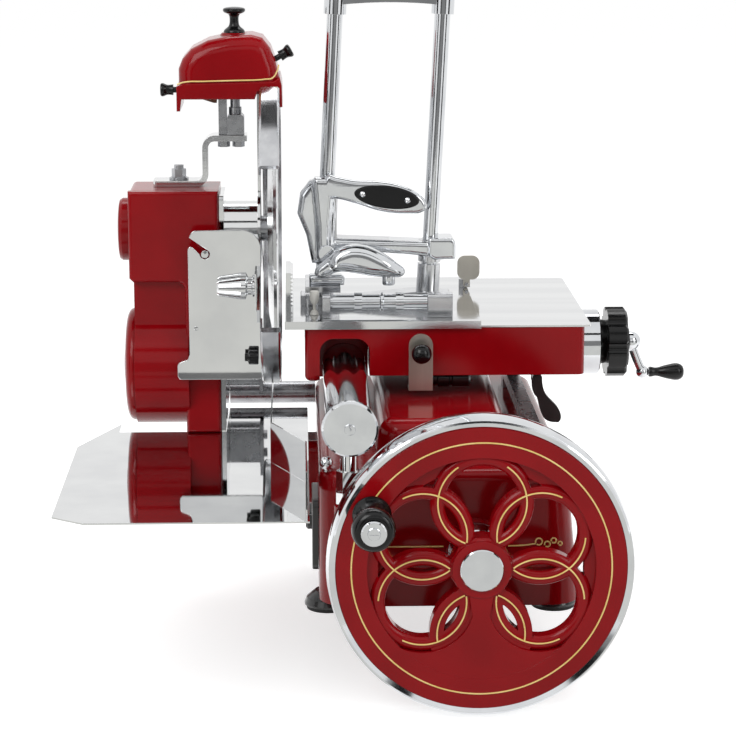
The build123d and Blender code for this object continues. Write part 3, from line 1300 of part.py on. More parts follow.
stone_y = strap_y - 24
grind_start = (hood_left - 2, stone_y, hood_bottom + 20)
hone_start = (hood_right - 4, strap_y - 14, hood_top - 24)
hone_way = Vector(-0.87, 0, -0.5).normalized()
button_rod = 3
sleeve_radius = 8
skirt_bottom = hood_bottom + 12
step_x = -178             # right of here the skirt is cut higher, over the blade

with BuildPart() as sharpener_hood:
    # crowned cover with a hollow of even wall, open below
    with BuildSketch(Plane(origin=(0, hood_back, 0), x_dir=(1, 0, 0), z_dir=(0, -1, 0))):
        with BuildLine():
            Line((hood_left, skirt_bottom), (hood_left, hood_bottom + 38))
            Spline((hood_left, hood_bottom + 38), (hood_left + 14, hood_top - 15),
                   (hood_left + 62, hood_top - 3), (hood_left + 80, hood_top),
                   (hood_right - 20, hood_top - 5), (hood_right - 7, hood_top - 26),
                   (hood_right - 1, hood_top - 40), tangents=[(0, 1), (0.1, -1)])
            Polyline((hood_right - 1, hood_top - 40), (hood_right, skirt_bottom + 8),
                     (step_x, skirt_bottom + 8), (step_x, skirt_bottom), (hood_left, skirt_bottom))
        make_face()
    extrude(amount=hood_depth)
    with BuildSketch(Plane(origin=(0, hood_back - hood_wall, 0), x_dir=(1, 0, 0), z_dir=(0, -1, 0))):
        with BuildLine():
            Line((hood_left + hood_wall, hood_bottom), (hood_left + hood_wall, hood_bottom + 38))
            Spline((hood_left + hood_wall, hood_bottom + 38), (hood_left + 16, hood_top - 19),
                   (hood_left + 62, hood_top - 3 - hood_wall), (hood_left + 80, hood_top - hood_wall),
                   (hood_right - 23, hood_top - 9), (hood_right - 11, hood_top - 27),
                   (hood_right - 1 - hood_wall, hood_top - 41), tangents=[(0, 1), (0.1, -1)])
            Polyline((hood_right - 1 - hood_wall, hood_top - 41), (hood_right - hood_wall, hood_bottom),
                     (hood_left + hood_wall, hood_bottom))
        make_face()
    extrude(amount=hood_depth - 2 * hood_wall, mode=Mode.SUBTRACT)
    # lips at both ends, below the skirt
    block(hood_left, hood_left + hood_wall, hood_front + 8, hood_back - 8, hood_bottom, skirt_bottom + 1)
    block(hood_right - hood_wall, hood_right, hood_front + 8, hood_back - 8, hood_bottom + 4,
          skirt_bottom + 9)
    # flat boss under the lifting knob, and the holes for its sleeve and both stone rods
    rod((stud_x, strap_y, hood_top - 8), (stud_x, strap_y, hood_top), 13)
    rod((stud_x, strap_y, hood_top - 30), (stud_x, strap_y, hood_top + 5), sleeve_radius + press_gap,
        mode=Mode.SUBTRACT)
    rod((grind_start[0] - 5, stone_y, grind_start[2]), (hood_left + 10, stone_y, grind_start[2]),
        button_rod + fit_gap, mode=Mode.SUBTRACT)
    rod(tuple(Vector(*hone_start) - hone_way * 8), tuple(Vector(*hone_start) + hone_way * 12),
        button_rod + fit_gap, mode=Mode.SUBTRACT)
keep(sharpener_hood, "sharpener_hood")

with BuildPart() as hood_knob:
    # black mushroom knob on a sleeve that slides up the stud when the head is lifted
    lathe((stud_x, strap_y, hood_top + seat_gap), (0, 0, 1),
          [(11, 0), (10, 2.5), (6, 6), (4.6, 12), (6, 18), (11, 21), (11.4, 23), (8, 25), (3, 25.6)])
    rod((stud_x, strap_y, hood_top - 60), (stud_x, strap_y, hood_top + 1), sleeve_radius)
    rod((stud_x, strap_y, hood_top - 61), (stud_x, strap_y, hood_top - 8), 5 + fit_gap,
        mode=Mode.SUBTRACT)
keep(hood_knob, "hood_knob")


def stone_set(start, way, length, radius, thickness, stone_name, button_name):
    """Push button with its rod, and the cup stone on the rod's inner end."""
    tip = Vector(*start) + way * length
    with BuildPart() as button:
        lathe(tuple(Vector(*start) - way * 2), tuple(way * -1),
              [(5.6, 0), (5.2, 3), (5.4, 7), (6.8, 10.5), (6.6, 12), (3, 12.6)])
        rod(start, tuple(tip), button_rod)
    keep(button, button_name)
    with BuildPart() as stone:
        bore = button_rod + press_gap
        turned(tuple(tip), tuple(way),
               [(bore, -thickness), (radius * 0.7, -thickness), (radius, -3), (radius, 0),
                (radius * 0.6, 0), (radius * 0.5, -2), (bore, -2)])
    keep(stone, stone_name)


# a grinding stone pushed in from the left, a honing stone from the upper right
stone_travel = 5
stone_set(grind_start, Vector(1, 0, 0), 42, 13.5, 16, "grinding_stone", "grinding_button")
stone_set(hone_start, hone_way, 25, 8, 9, "honing_stone", "honing_button")

# cast trip lever of the feed, hung under the carriage on the right
with BuildPart() as feed_lever:
    with BuildSketch(Plane(origin=(0, trip_y, 0), x_dir=(1, 0, 0), z_dir=(0, 1, 0))):
        with BuildLine():
            Spline((trip_x + 5, -trip_z), (trip_x + 10, -trip_z + 18), (trip_x + 24, -trip_z + 36),
                   (trip_x + 22, -trip_z + 46), tangents=[(0, 1), (-1, 0.6)])
            Spline((trip_x + 22, -trip_z + 46), (trip_x + 8, -trip_z + 42), (trip_x, -trip_z + 20),
                   (trip_x - 5, -trip_z), tangents=[(-1, 0), (0, -1)])
            ThreePointArc((trip_x - 5, -trip_z), (trip_x, -trip_z - 5), (trip_x + 5, -trip_z))
        make_face()
        with Locations((trip_x, -trip_z)):
            Circle(3 + fit_gap, mode=Mode.SUBTRACT)
    extrude(amount=10)
keep(feed_lever, "feed_lever")
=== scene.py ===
import math

import bpy
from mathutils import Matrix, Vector


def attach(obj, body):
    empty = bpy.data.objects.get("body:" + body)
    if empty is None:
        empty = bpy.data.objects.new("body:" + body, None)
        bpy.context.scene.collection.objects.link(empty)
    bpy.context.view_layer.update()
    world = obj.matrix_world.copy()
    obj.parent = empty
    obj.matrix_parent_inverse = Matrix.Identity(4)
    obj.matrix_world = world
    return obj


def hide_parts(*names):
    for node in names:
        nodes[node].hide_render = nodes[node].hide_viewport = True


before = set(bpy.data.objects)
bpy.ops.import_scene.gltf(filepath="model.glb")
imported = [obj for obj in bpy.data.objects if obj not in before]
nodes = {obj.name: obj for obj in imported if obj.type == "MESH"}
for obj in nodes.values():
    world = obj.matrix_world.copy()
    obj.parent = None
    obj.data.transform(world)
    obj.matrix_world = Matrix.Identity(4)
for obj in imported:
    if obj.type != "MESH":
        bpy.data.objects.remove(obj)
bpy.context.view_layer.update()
mm = 0.001

# ============================ camera =========================================
# The machine is seen from the operator's side, a little from above, from 2.3 m.
# A long lens keeps the verticals nearly parallel.
lens_mm, sensor_mm = 114.7, 36
camera_place = (-0.135, -2.340, 0.710)
camera_looks = (0.0297, 1.0, -0.2183)
bpy.ops.object.select_all(action="DESELECT")
camera_data = bpy.data.cameras.new("camera")
camera_data.lens = lens_mm
camera_data.sensor_width = sensor_mm
camera = bpy.data.objects.new("camera", camera_data)
bpy.context.scene.collection.objects.link(camera)
camera.location = camera_place
camera.rotation_euler = Vector(camera_looks).to_track_quat("-Z", "Y").to_euler()
bpy.context.scene.camera = camera
bpy.context.scene.view_settings.view_transform = "Standard"

# ============================ studio =========================================
# Plain pale floor under the flywheel's lowest point, white surroundings and soft lamps.
# Dark, grey and pale cards outside the picture give the polished metal something to show.


def linear(code):
    """An sRGB hex colour as the linear RGBA that a shader takes."""
    parts = [int(code[i:i + 2], 16) / 255 for i in (0, 2, 4)]
    bent = [c / 12.92 if c <= 0.04045 else ((c + 0.055) / 1.055) ** 2.4 for c in parts]
    return tuple(bent) + (1.0,)


def add(tree, kind, inputs, **settings):
    """A node with its settings, its input values and its links."""
    made = tree.nodes.new(kind)
    for name, value in settings.items():
        setattr(made, name, value)
    for name, value in inputs.items():
        if isinstance(value, bpy.types.NodeSocket):
            tree.links.new(value, made.inputs[name])
        else:
            made.inputs[name].default_value = value
    return made


def blank_material(name):
    """A new material with only its output node."""
    material = bpy.data.materials.new(name)
    material.use_nodes = True
    material.node_tree.nodes.clear()
    return material, material.node_tree


floor_size = 60
floor_glow, room_glow = 0.62, 0.55
floor_z = -0.0716
bpy.ops.mesh.primitive_plane_add(size=floor_size, location=(0, 0, floor_z))
floor = bpy.context.object
floor.name = "floor"
floor_material, tree = blank_material("matt white floor")
rays = add(tree, "ShaderNodeLightPath", {})
seen = add(tree, "ShaderNodeMath",
           {0: rays.outputs["Is Camera Ray"], 1: rays.outputs["Is Glossy Ray"]},
           operation="MAXIMUM")
paint = add(tree, "ShaderNodeBsdfDiffuse", {"Color": linear("d8d8d8")})
lift = add(tree, "ShaderNodeEmission", {"Color": linear("ffffff"), "Strength": floor_glow})
both = add(tree, "ShaderNodeAddShader", {0: paint.outputs[0], 1: lift.outputs[0]})
shown = add(tree, "ShaderNodeMixShader",
            {0: seen.outputs[0], 1: paint.outputs[0], 2: both.outputs[0]})
add(tree, "ShaderNodeOutputMaterial", {"Surface": shown.outputs[0]})
floor.data.materials.append(floor_material)

world = bpy.data.worlds.new("white room")
bpy.context.scene.world = world
world.use_nodes = True
tree = world.node_tree
tree.nodes.clear()
rays = add(tree, "ShaderNodeLightPath", {})
seen = add(tree, "ShaderNodeMath",
           {0: rays.outputs["Is Camera Ray"], 1: rays.outputs["Is Glossy Ray"]},
           operation="MAXIMUM")
seen_too = add(tree, "ShaderNodeMath", {0: seen.outputs[0], 1: rays.outputs["Is Transmission Ray"]},
               operation="MAXIMUM")
dim = add(tree, "ShaderNodeBackground", {"Color": linear("ffffff"), "Strength": room_glow})
white = add(tree, "ShaderNodeBackground", {"Color": linear("ffffff"), "Strength": 1.0})
sky = add(tree, "ShaderNodeMixShader",
          {0: seen_too.outputs[0], 1: dim.outputs[0], 2: white.outputs[0]})
add(tree, "ShaderNodeOutputWorld", {"Surface": sky.outputs[0]})

for name, place, aim, width, power in (
        ("key lamp", (-1.6, -1.9, 2.2), (0, 0, 0.2), 1.6, 34),
        ("fill lamp", (2.1, -1.6, 1.4), (0, 0, 0.2), 1.4, 16),
        ("top lamp", (0.1, 0.7, 2.4), (0, 0, 0.2), 1.5, 22)):
    lamp_data = bpy.data.lights.new(name, "AREA")
    lamp_data.size = width
    lamp_data.energy = power
    lamp = bpy.data.objects.new(name, lamp_data)
    bpy.context.scene.collection.objects.link(lamp)
    lamp.location = place
    lamp.rotation_euler = (Vector(aim) - Vector(place)).to_track_quat("-Z", "Y").to_euler()


def card_paint(name, code):
    """Matt card of one grey."""
    material, tree = blank_material(name)
    paint = add(tree, "ShaderNodeBsdfDiffuse", {"Color": linear(code)})
    add(tree, "ShaderNodeOutputMaterial", {"Surface": paint.outputs[0]})
    return material


def glowing_card(name, code):
    """Card seen only in reflections, at one even grey whatever light falls on it."""
    material, tree = blank_material(name)
    glow = add(tree, "ShaderNodeEmission", {"Color": linear(code), "Strength": 1.0})
    add(tree, "ShaderNodeOutputMaterial", {"Surface": glow.outputs[0]})
    return material


dark_card = card_paint("dark card", "1c1c1e")
pale_card = glowing_card("pale card", "e8e8e4")
grey_card = glowing_card("grey card", "8c8c8c")
for name, place, size, paint in (
        ("left card", (-1.6, -0.9, 0.55), (0.05, 0.5, 2.2), dark_card),
        ("right card", (1.6, -0.8, 0.55), (0.05, 0.6, 2.2), dark_card),
        ("low front card", (0.0, -1.855, -0.0705), (3.4, 3.1, 0.001), pale_card),
        ("far front card", (0.0, -3.45, 0.5), (4.0, 0.05, 1.1), grey_card),
        ("front strip left", (-0.62, -1.7, 0.5), (0.22, 0.02, 1.1), dark_card),
        ("front strip right", (0.75, -1.7, 0.5), (0.16, 0.02, 1.1), dark_card),
        ("high front card", (0.0, -2.6, 2.3), (3.0, 0.05, 0.5), dark_card),
        ("overhead card", (0.0, 0.4, 2.3), (2.4, 1.1, 0.05), dark_card)):
    bpy.ops.mesh.primitive_cube_add(size=1, location=place, scale=size)
    card = bpy.context.object
    card.name = name
    card.data.materials.append(paint)
    card.visible_camera = False
    card.visible_shadow = False
    card.visible_diffuse = False

# ============================ red enamelled castings =========================
# Cast iron base, blade case, carriage, flywheel and sharpener hood, stove enamelled.
# Deep red with a wet gloss over a colour that shifts a little, and the faint orange
# peel, about 3 mm across, that sprayed enamel keeps.


def surface(name, base, dark, metallic, roughness, spread, shift_mm, edge_mm=0.0, stretch=(1, 1, 1),
            relief=0.0, relief_mm=3.0, coat=0.0, level=0.5):
    """Principled material: colour and roughness drift over shift_mm, relief at relief_mm."""
    material, tree = blank_material(name)
    place = add(tree, "ShaderNodeTexCoord", {})
    mapped = add(tree, "ShaderNodeMapping", {"Vector": place.outputs["Object"], "Scale": stretch})
    drift = add(tree, "ShaderNodeTexNoise",
                {"Vector": mapped.outputs[0], "Scale": 1000 / shift_mm, "Detail": 3.0})
    tint = add(tree, "ShaderNodeValToRGB", {"Fac": drift.outputs["Fac"]})
    tint.color_ramp.elements[0].position = 0.35
    tint.color_ramp.elements[0].color = linear(dark)
    tint.color_ramp.elements[1].position = 0.65
    tint.color_ramp.elements[1].color = linear(base)
    gloss = add(tree, "ShaderNodeMapRange",
                {"Value": drift.outputs["Fac"], "To Min": roughness - spread,
                 "To Max": roughness + spread})
    grain = add(tree, "ShaderNodeTexNoise",
                {"Vector": mapped.outputs[0], "Scale": 1000 / relief_mm, "Detail": 2.0})
    bump = add(tree, "ShaderNodeBump",
               {"Height": grain.outputs["Fac"], "Strength": relief, "Distance": 0.0002})
    if edge_mm:
        rounded = add(tree, "ShaderNodeBevel", {"Radius": edge_mm * mm}, samples=4)
        tree.links.new(rounded.outputs[0], bump.inputs["Normal"])
    shader = add(tree, "ShaderNodeBsdfPrincipled",
                 {"Base Color": tint.outputs["Color"], "Metallic": metallic,
                  "Roughness": gloss.outputs[0], "Coat Weight": coat, "Coat Roughness": 0.04,
                  "Specular IOR Level": level,
                  "Normal": bump.outputs[0]})
    add(tree, "ShaderNodeOutputMaterial", {"Surface": shader.outputs[0]})
    return material


def dress(material, *names):
    """The CAD nodes of these names get the material."""
    for name in names:
        piece = nodes[name]
        if not piece.data.materials:
            piece.data.materials.append(material)
        for held in piece.material_slots:
            held.material = material


red_enamel = surface("stove enamel red", "92060f", "86040c", 0.0, 0.14, 0.03, 60, edge_mm=1.0,
                     relief=0.08, relief_mm=3, level=0.22)
dress(red_enamel, "base_casting", "case_body", "case_covers", "carriage_body", "flywheel",
      "sharpener_hood", "rod_bushes")

# ============================ chrome plated parts ============================
# Steel and brass turnings under polished chrome: rim, guide rod, columns, cap, screw.
# Almost a mirror, with wiping haze in patches a few centimetres wide.
chrome = surface("chrome plate", "dcdee0", "d0d2d5", 1.0, 0.07, 0.03, 35, edge_mm=0.5,
                 relief=0.02, relief_mm=8)
dress(chrome, "flywheel_rim", "wheel_fittings", "guide_rod", "press_frame", "press_handle",
      "vice_spindle", "feed_screw", "feed_collar", "base_fittings")

# The release tab and the catch strap are nickel, brushed dull, and a little warmer.
satin_nickel = surface("brushed nickel", "cfcac0", "c2bdb2", 1.0, 0.34, 0.05, 15, edge_mm=0.4,
                       stretch=(1, 1, 0.08), relief=0.1, relief_mm=0.5)
dress(satin_nickel, "release_lever", "catch_plate")

# ============================ polished aluminium castings ====================
# Ring guard, press slider, clamp lever and table fittings: sand cast, then polished.
# Softer than chrome, with a slow waviness from the polishing belt, 6 mm across.
# The press slider carries a chromed casting over it; see the meat press below.
aluminium = surface("polished cast aluminium", "cfd0d2", "bfc0c3", 1.0, 0.17, 0.05, 18, edge_mm=1.0,
                    relief=0.10, relief_mm=6)
dress(aluminium, "guard_ring", "press_base", "press_slider", "clamp_lever", "table_fittings")

# ============================ polished stainless sheet and plate =============
# Table, cover, case plate, rod posts and strap: rolled stainless, polished one way.
# Fine polishing lines run along X, drawn 0.4 mm apart so that they show.
stainless = surface("polished stainless", "dedfdf", "d4d5d6", 1.0, 0.08, 0.03, 30, edge_mm=0.3,
                    stretch=(0.05, 1, 1), relief=0.05, relief_mm=0.4)
dress(stainless, "case_plate", "blade_shaft_tube", "deflector_plate", "deflector_knob",
      "rod_posts", "cover_plate", "meat_table", "tooth_plate",
      "sharpener_strap")

# The tray is buffed to a mirror, and shows the case above it without a blur.
mirror_steel = surface("mirror polished stainless", "dcdddd", "d2d3d4", 1.0, 0.03, 0.015, 60,
                       edge_mm=0.4, relief=0.01, relief_mm=12)
dress(mirror_steel, "receiving_tray")

# ============================ blade ==========================================
# Hardened steel disc, ground and polished round its own axis.
# The grinding leaves rings, drawn 0.8 mm apart, that pull the highlights into a fan.
blade_axis = (0, -0.076, -0.332)
blade_steel, tree = blank_material("ground blade steel")
place = add(tree, "ShaderNodeTexCoord", {})
centred = add(tree, "ShaderNodeMapping",
              {"Vector": place.outputs["Object"], "Location": blade_axis})
rings = add(tree, "ShaderNodeTexWave",
            {"Vector": centred.outputs[0], "Scale": 200.0, "Distortion": 1.5, "Detail": 2.0},
            wave_type="RINGS", rings_direction="X")
bump = add(tree, "ShaderNodeBump",
           {"Height": rings.outputs["Fac"], "Strength": 0.05, "Distance": 0.0001})
gloss = add(tree, "ShaderNodeMapRange",
            {"Value": rings.outputs["Fac"], "To Min": 0.12, "To Max": 0.2})
shader = add(tree, "ShaderNodeBsdfPrincipled",
             {"Base Color": linear("cdced0"), "Metallic": 1.0, "Roughness": gloss.outputs[0],
              "Normal": bump.outputs[0]})
add(tree, "ShaderNodeOutputMaterial", {"Surface": shader.outputs[0]})
dress(blade_steel, "blade")

# ============================ ground and oiled steel =========================
# Shafts, gears, rail, tie bar and sharpener block, left as machined.
# Darker than the plated parts, with tool marks drawn 0.6 mm apart.
ground_steel = surface("ground steel", "b9babd", "a2a3a6", 1.0, 0.28, 0.08, 12, edge_mm=0.5,
                       relief=0.12, relief_mm=0.6)
dress(ground_steel, "flywheel_shaft", "cross_shaft", "lay_shaft", "blade_shaft", "drive_chains",
      "guard_supports", "right_rail", "rail_roller", "sharpener_block")
bronze = surface("bearing bronze", "a87a42", "8d6334", 1.0, 0.32, 0.06, 10, relief=0.1,
                 relief_mm=0.8)
dress(bronze, "shaft_bushes")

# ============================ black parts ====================================
# Moulded bakelite grips and knobs: jet black, buffed, with a slight swirl.
# Black enamel on the feet, hatch cover and feed trip: a little less glossy.
bakelite = surface("black bakelite", "0d0d0e", "070708", 0.0, 0.20, 0.05, 25, edge_mm=0.6,
                   relief=0.06, relief_mm=2, level=0.35)
dress(bakelite, "handle_grip", "catch_ball", "thickness_knob", "crank_grip", "grip_scales",
      "hood_knob", "grinding_button", "honing_button")
black_enamel = surface("black enamel", "131314", "0b0b0c", 0.0, 0.30, 0.06, 30, edge_mm=0.8,
                       relief=0.15, relief_mm=2.5, coat=0.5)
dress(black_enamel, "foot_bells", "side_cover", "carriage_brackets", "feed_lever")
rubber = surface("moulded rubber", "161616", "0e0e0e", 0.0, 0.75, 0.08, 6, relief=0.4, relief_mm=1)
dress(rubber, "foot_pads")

# ============================ sharpening stones ==============================
# Bonded abrasive cups: brown coarse grit on the left, grey fine grit on the right.
# Dead matt, with grains drawn 0.7 mm across.
brown_grit = surface("brown bonded grit", "6b4026", "3d2314", 0.0, 0.92, 0.05, 0.9, relief=0.9,
                     relief_mm=0.7)
grey_grit = surface("grey bonded grit", "8a8a86", "5d5d5a", 0.0, 0.92, 0.05, 0.9, relief=0.9,
                    relief_mm=0.7)
dress(brown_grit, "grinding_stone")
dress(grey_grit, "honing_stone")

# ============================ gold striping on the flywheel ==================
# Hand painted lines in gold enamel: one circle on the raised band, and a line on
# each rib that turns the windows into a flower. The paint stands 0.2 mm proud.
gold_paint = surface("gold striping enamel", "f2d68a", "e8c872", 0.0, 0.35, 0.05, 15, relief=0.08,
                     relief_mm=1.5, coat=0.3)
hub_x, hub_z, band_face_y = 30, 73, -290
lobe_ring, petal_radius, rib_height = 62.5, 40.6, 1.5
band_stripe_radius = 119.5
paint_lift = 0.1
stripe_radius = 0.75 * mm
window_angles, blank_angle = (30, 90, 150, 210, 330), 270
petal_start, blank_start, petal_end = 33, 80, 158


def finish_piece(piece, name, body, material):
    """Names a new piece, bakes its place into its mesh, and fixes it to its body."""
    piece.name = name
    bpy.ops.object.select_all(action="DESELECT")
    piece.select_set(True)
    bpy.context.view_layer.objects.active = piece
    bpy.ops.object.transform_apply(location=True, rotation=True, scale=True)
    bpy.ops.object.shade_smooth_by_angle(angle=math.radians(40))
    weighted = piece.modifiers.new("weighted", "WEIGHTED_NORMAL")
    weighted.keep_sharp = True
    bpy.ops.object.modifier_apply(modifier=weighted.name)
    piece.data.materials.clear()
    piece.data.materials.append(material)
    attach(piece, body)
    return piece


def lobe_centre(angle):
    """Centre (x, z) of the flower's circle that stands at this angle round the hub."""
    turn = math.radians(angle)
    return hub_x + lobe_ring * math.cos(turn), hub_z + lobe_ring * math.sin(turn)


def stripe_ring(name, centre, radius, body):
    """A closed painted line round a circle that faces along Y."""
    bpy.ops.object.select_all(action="DESELECT")
    bpy.ops.mesh.primitive_torus_add(location=centre, rotation=(math.pi / 2, 0, 0),
                                     major_radius=radius, minor_radius=stripe_radius,
                                     major_segments=128, minor_segments=8)
    return finish_piece(bpy.context.object, name, body, gold_paint)


def stripe_arc(centre, radius, start, stop):
    """An open painted line: a small disc spun round a Y axis, from start to stop degrees."""
    bpy.ops.object.select_all(action="DESELECT")
    turn = math.radians(start)
    where = (centre[0] + radius * math.cos(turn), centre[1], centre[2] + radius * math.sin(turn))
    bpy.ops.mesh.primitive_circle_add(vertices=8, radius=stripe_radius, fill_type="NGON",
                                      location=where, rotation=(0, -turn, 0))
    piece = bpy.context.object
    bpy.ops.object.transform_apply(location=True, rotation=True, scale=True)
    bpy.ops.object.mode_set(mode="EDIT")
    bpy.ops.mesh.select_all(action="SELECT")
    bpy.ops.mesh.spin(steps=max(4, int(abs(stop - start) / 4)), angle=math.radians(stop - start),
                      center=centre, axis=(0, 1, 0))
    bpy.ops.mesh.select_all(action="SELECT")
    bpy.ops.mesh.remove_doubles(threshold=0.00001)
    bpy.ops.mesh.normals_make_consistent(inside=False)
    bpy.ops.object.mode_set(mode="OBJECT")
    return piece


def joined(pieces, name, body, material):
    """Several meshes as one piece."""
    bpy.ops.object.select_all(action="DESELECT")
    for piece in pieces:
        piece.select_set(True)
    bpy.context.view_layer.objects.active = pieces[0]
    bpy.ops.object.join()
    return finish_piece(bpy.context.object, name, body, material)


stripe_ring("wheel_band_stripe", (hub_x * mm, (band_face_y - paint_lift) * mm, hub_z * mm),
            band_stripe_radius * mm, "wheel")
petal_y = band_face_y + rib_height - paint_lift
petal_lines = []
for angle in window_angles + (blank_angle,):
    lobe_x, lobe_z = lobe_centre(angle)
    first = blank_start if angle == blank_angle else petal_start
    for side in (1, -1):
        begin, end = sorted((angle + side * first, angle + side * petal_end))
        petal_lines.append(stripe_arc((lobe_x * mm, petal_y * mm, lobe_z * mm), petal_radius * mm,
                                      begin, end))
joined(petal_lines, "wheel_petal_stripes", "wheel", gold_paint)


# ============================ blank panel of the flywheel ====================
# The sector below the hub is one smooth panel, level with the raised band, where the
# casting has no window. It is filled up to the band between the two lowest ribs.


def outline_plate(outline, front, back, rounding, smooth=False, segments=6):
    """A plate with rounded edges: an outline of (x, z) points, from Y front to Y back."""
    drawn = bpy.data.curves.new("outline", "CURVE")
    drawn.dimensions = "2D"
    drawn.fill_mode = "BOTH"
    drawn.resolution_u = 12
    line = drawn.splines.new("BEZIER")
    line.bezier_points.add(len(outline) - 1)
    for point, (x, z) in zip(line.bezier_points, outline):
        point.co = (x * mm, z * mm, 0)
        point.handle_left_type = point.handle_right_type = "AUTO" if smooth else "VECTOR"
    line.use_cyclic_u = True
    drawn.extrude = (back - front) * mm / 2 - rounding * mm
    drawn.bevel_depth = rounding * mm
    drawn.bevel_resolution = segments
    drawn.offset = -rounding * mm
    holder = bpy.data.objects.new("outline", drawn)
    bpy.context.scene.collection.objects.link(holder)
    holder.location = (0, (front + back) * mm / 2, 0)
    holder.rotation_euler = (math.pi / 2, 0, 0)
    bpy.ops.object.select_all(action="DESELECT")
    holder.select_set(True)
    bpy.context.view_layer.objects.active = holder
    bpy.ops.object.convert(target="MESH")
    piece = bpy.context.object
    bpy.ops.object.transform_apply(location=True, rotation=True, scale=True)
    bpy.ops.object.mode_set(mode="EDIT")
    bpy.ops.mesh.select_all(action="SELECT")
    bpy.ops.mesh.remove_doubles(threshold=0.00002)
    bpy.ops.mesh.normals_make_consistent(inside=False)
    bpy.ops.object.mode_set(mode="OBJECT")
    return piece


def arc_points(centre_x, centre_z, radius, start, stop, steps):
    """Points along an arc in the XZ plane, angles in degrees from +X towards +Z."""
    found = []
    for i in range(steps + 1):
        turn = math.radians(start + (stop - start) * i / steps)
        found.append((centre_x + radius * math.cos(turn), centre_z + radius * math.sin(turn)))
    return found


def turned_piece(profile, centre, way=(0, 0, 1), steps=48):
    """A turning: (radius, along) points spun round the axis through centre along way."""
    bpy.ops.object.select_all(action="DESELECT")
    bpy.ops.mesh.primitive_circle_add(vertices=max(3, len(profile)), radius=mm,
                                      fill_type="NOTHING")
    piece = bpy.context.object
    for vertex, (radius, along) in zip(piece.data.vertices, profile):
        vertex.co = (radius * mm, 0, along * mm)
    bpy.ops.object.mode_set(mode="EDIT")
    bpy.ops.mesh.select_all(action="SELECT")
    bpy.ops.mesh.spin(steps=steps, angle=2 * math.pi, center=(0, 0, 0), axis=(0, 0, 1))
    bpy.ops.mesh.select_all(action="SELECT")
    bpy.ops.mesh.remove_doubles(threshold=0.00001)
    bpy.ops.mesh.dissolve_degenerate(threshold=0.000001)
    bpy.ops.mesh.normals_make_consistent(inside=False)
    bpy.ops.object.mode_set(mode="OBJECT")
    piece.location = [c * mm for c in centre]
    piece.rotation_euler = Vector(way).to_track_quat("Z", "Y").to_euler()
    return piece


def cut(piece, tool):
    """Takes the tool's shape out of the piece and removes the tool."""
    bpy.ops.object.select_all(action="DESELECT")
    piece.select_set(True)
    bpy.context.view_layer.objects.active = piece
    hollow = piece.modifiers.new("cut", "BOOLEAN")
    hollow.operation = "DIFFERENCE"
    hollow.solver = "EXACT"
    hollow.object = tool
    bpy.ops.object.modifier_apply(modifier=hollow.name)
    bpy.data.objects.remove(tool)


def melt(piece, voxel, rounds):
    """Runs the joined shapes of a casting into one skin, and softens where they meet."""
    bpy.ops.object.select_all(action="DESELECT")
    piece.select_set(True)
    bpy.context.view_layer.objects.active = piece
    skin = piece.modifiers.new("skin", "REMESH")
    skin.mode = "VOXEL"
    skin.voxel_size = voxel * mm
    bpy.ops.object.modifier_apply(modifier=skin.name)
    soften = piece.modifiers.new("soften", "SMOOTH")
    soften.iterations = rounds
    soften.factor = 0.5
    bpy.ops.object.modifier_apply(modifier=soften.name)


def merged(pieces):
    """Several meshes joined into one object, not yet named."""
    bpy.ops.object.select_all(action="DESELECT")
    for piece in pieces:
        piece.select_set(True)
    bpy.context.view_layer.objects.active = pieces[0]
    bpy.ops.object.join()
    piece = bpy.context.object
    bpy.ops.object.transform_apply(location=True, rotation=True, scale=True)
    return piece


rib_outer, band_inner, hub_edge = 48.0, 109, 24
panel_front, panel_back, panel_rounding = -289.95, -280, 0.5
first_lobe, last_lobe = lobe_centre(210), lobe_centre(330)
panel = outline_plate(arc_points(hub_x, hub_z, band_inner, 224, 316, 30)
                      + arc_points(last_lobe[0], last_lobe[1], rib_outer, 303, 196, 26)
                      + arc_points(hub_x, hub_z, hub_edge, 300, 240, 8)
                      + arc_points(first_lobe[0], first_lobe[1], rib_outer, 344, 237, 26),
                      panel_front, panel_back, panel_rounding, segments=3)
finish_piece(panel, "wheel_blank_panel", "wheel", red_enamel)

# ============================ sharpener hood =================================
# A crowned casting with a stepped skirt, enamelled red, that lifts off with its knob.
# The crown's long edges are rounded over 15 mm; the skirt stands 2 mm proud of it, and
# two holes let the rods of the stone buttons through.
hood_wall = 4
hood_front, hood_back = 36, 116
skirt_front, skirt_back = 34, 118
grinding_rod = ((-260, 56, 478), (1, 0, 0))
honing_rod = ((-155, 66, 510), (-0.867, 0, -0.498))
rod_hole, rod_hole_length = 3.7, 24
crown = [(-256, 484), (-256, 500), (-252, 510), (-243, 520), (-226, 528.5), (-204, 533), (-182, 534),
         (-171, 531), (-163, 521), (-157, 505), (-154, 492), (-153, 484)]
hood = outline_plate(crown + [(-153, 470), (-256, 470)], hood_front, hood_back, 15, segments=10)
inside = [(x + hood_wall * (1 if x < -200 else -1), z - hood_wall) for x, z in crown]
cut(hood, outline_plate(inside + [(-157, 440), (-252, 440)], hood_front + hood_wall,
                        hood_back - hood_wall, 14, segments=6))
skirt = outline_plate([(-258, 458), (-254.5, 458), (-253, 470), (-179, 470), (-176, 478), (-155, 478),
                       (-154, 462), (-151, 462), (-151.5, 484), (-153.5, 492), (-160, 488),
                       (-252, 486), (-258, 483)], skirt_front, skirt_back, 1.4, segments=4)
cut(skirt, outline_plate([(-253.5, 440), (-155, 440), (-156, 500), (-252, 500)],
                         skirt_front + hood_wall, skirt_back - hood_wall, 1))
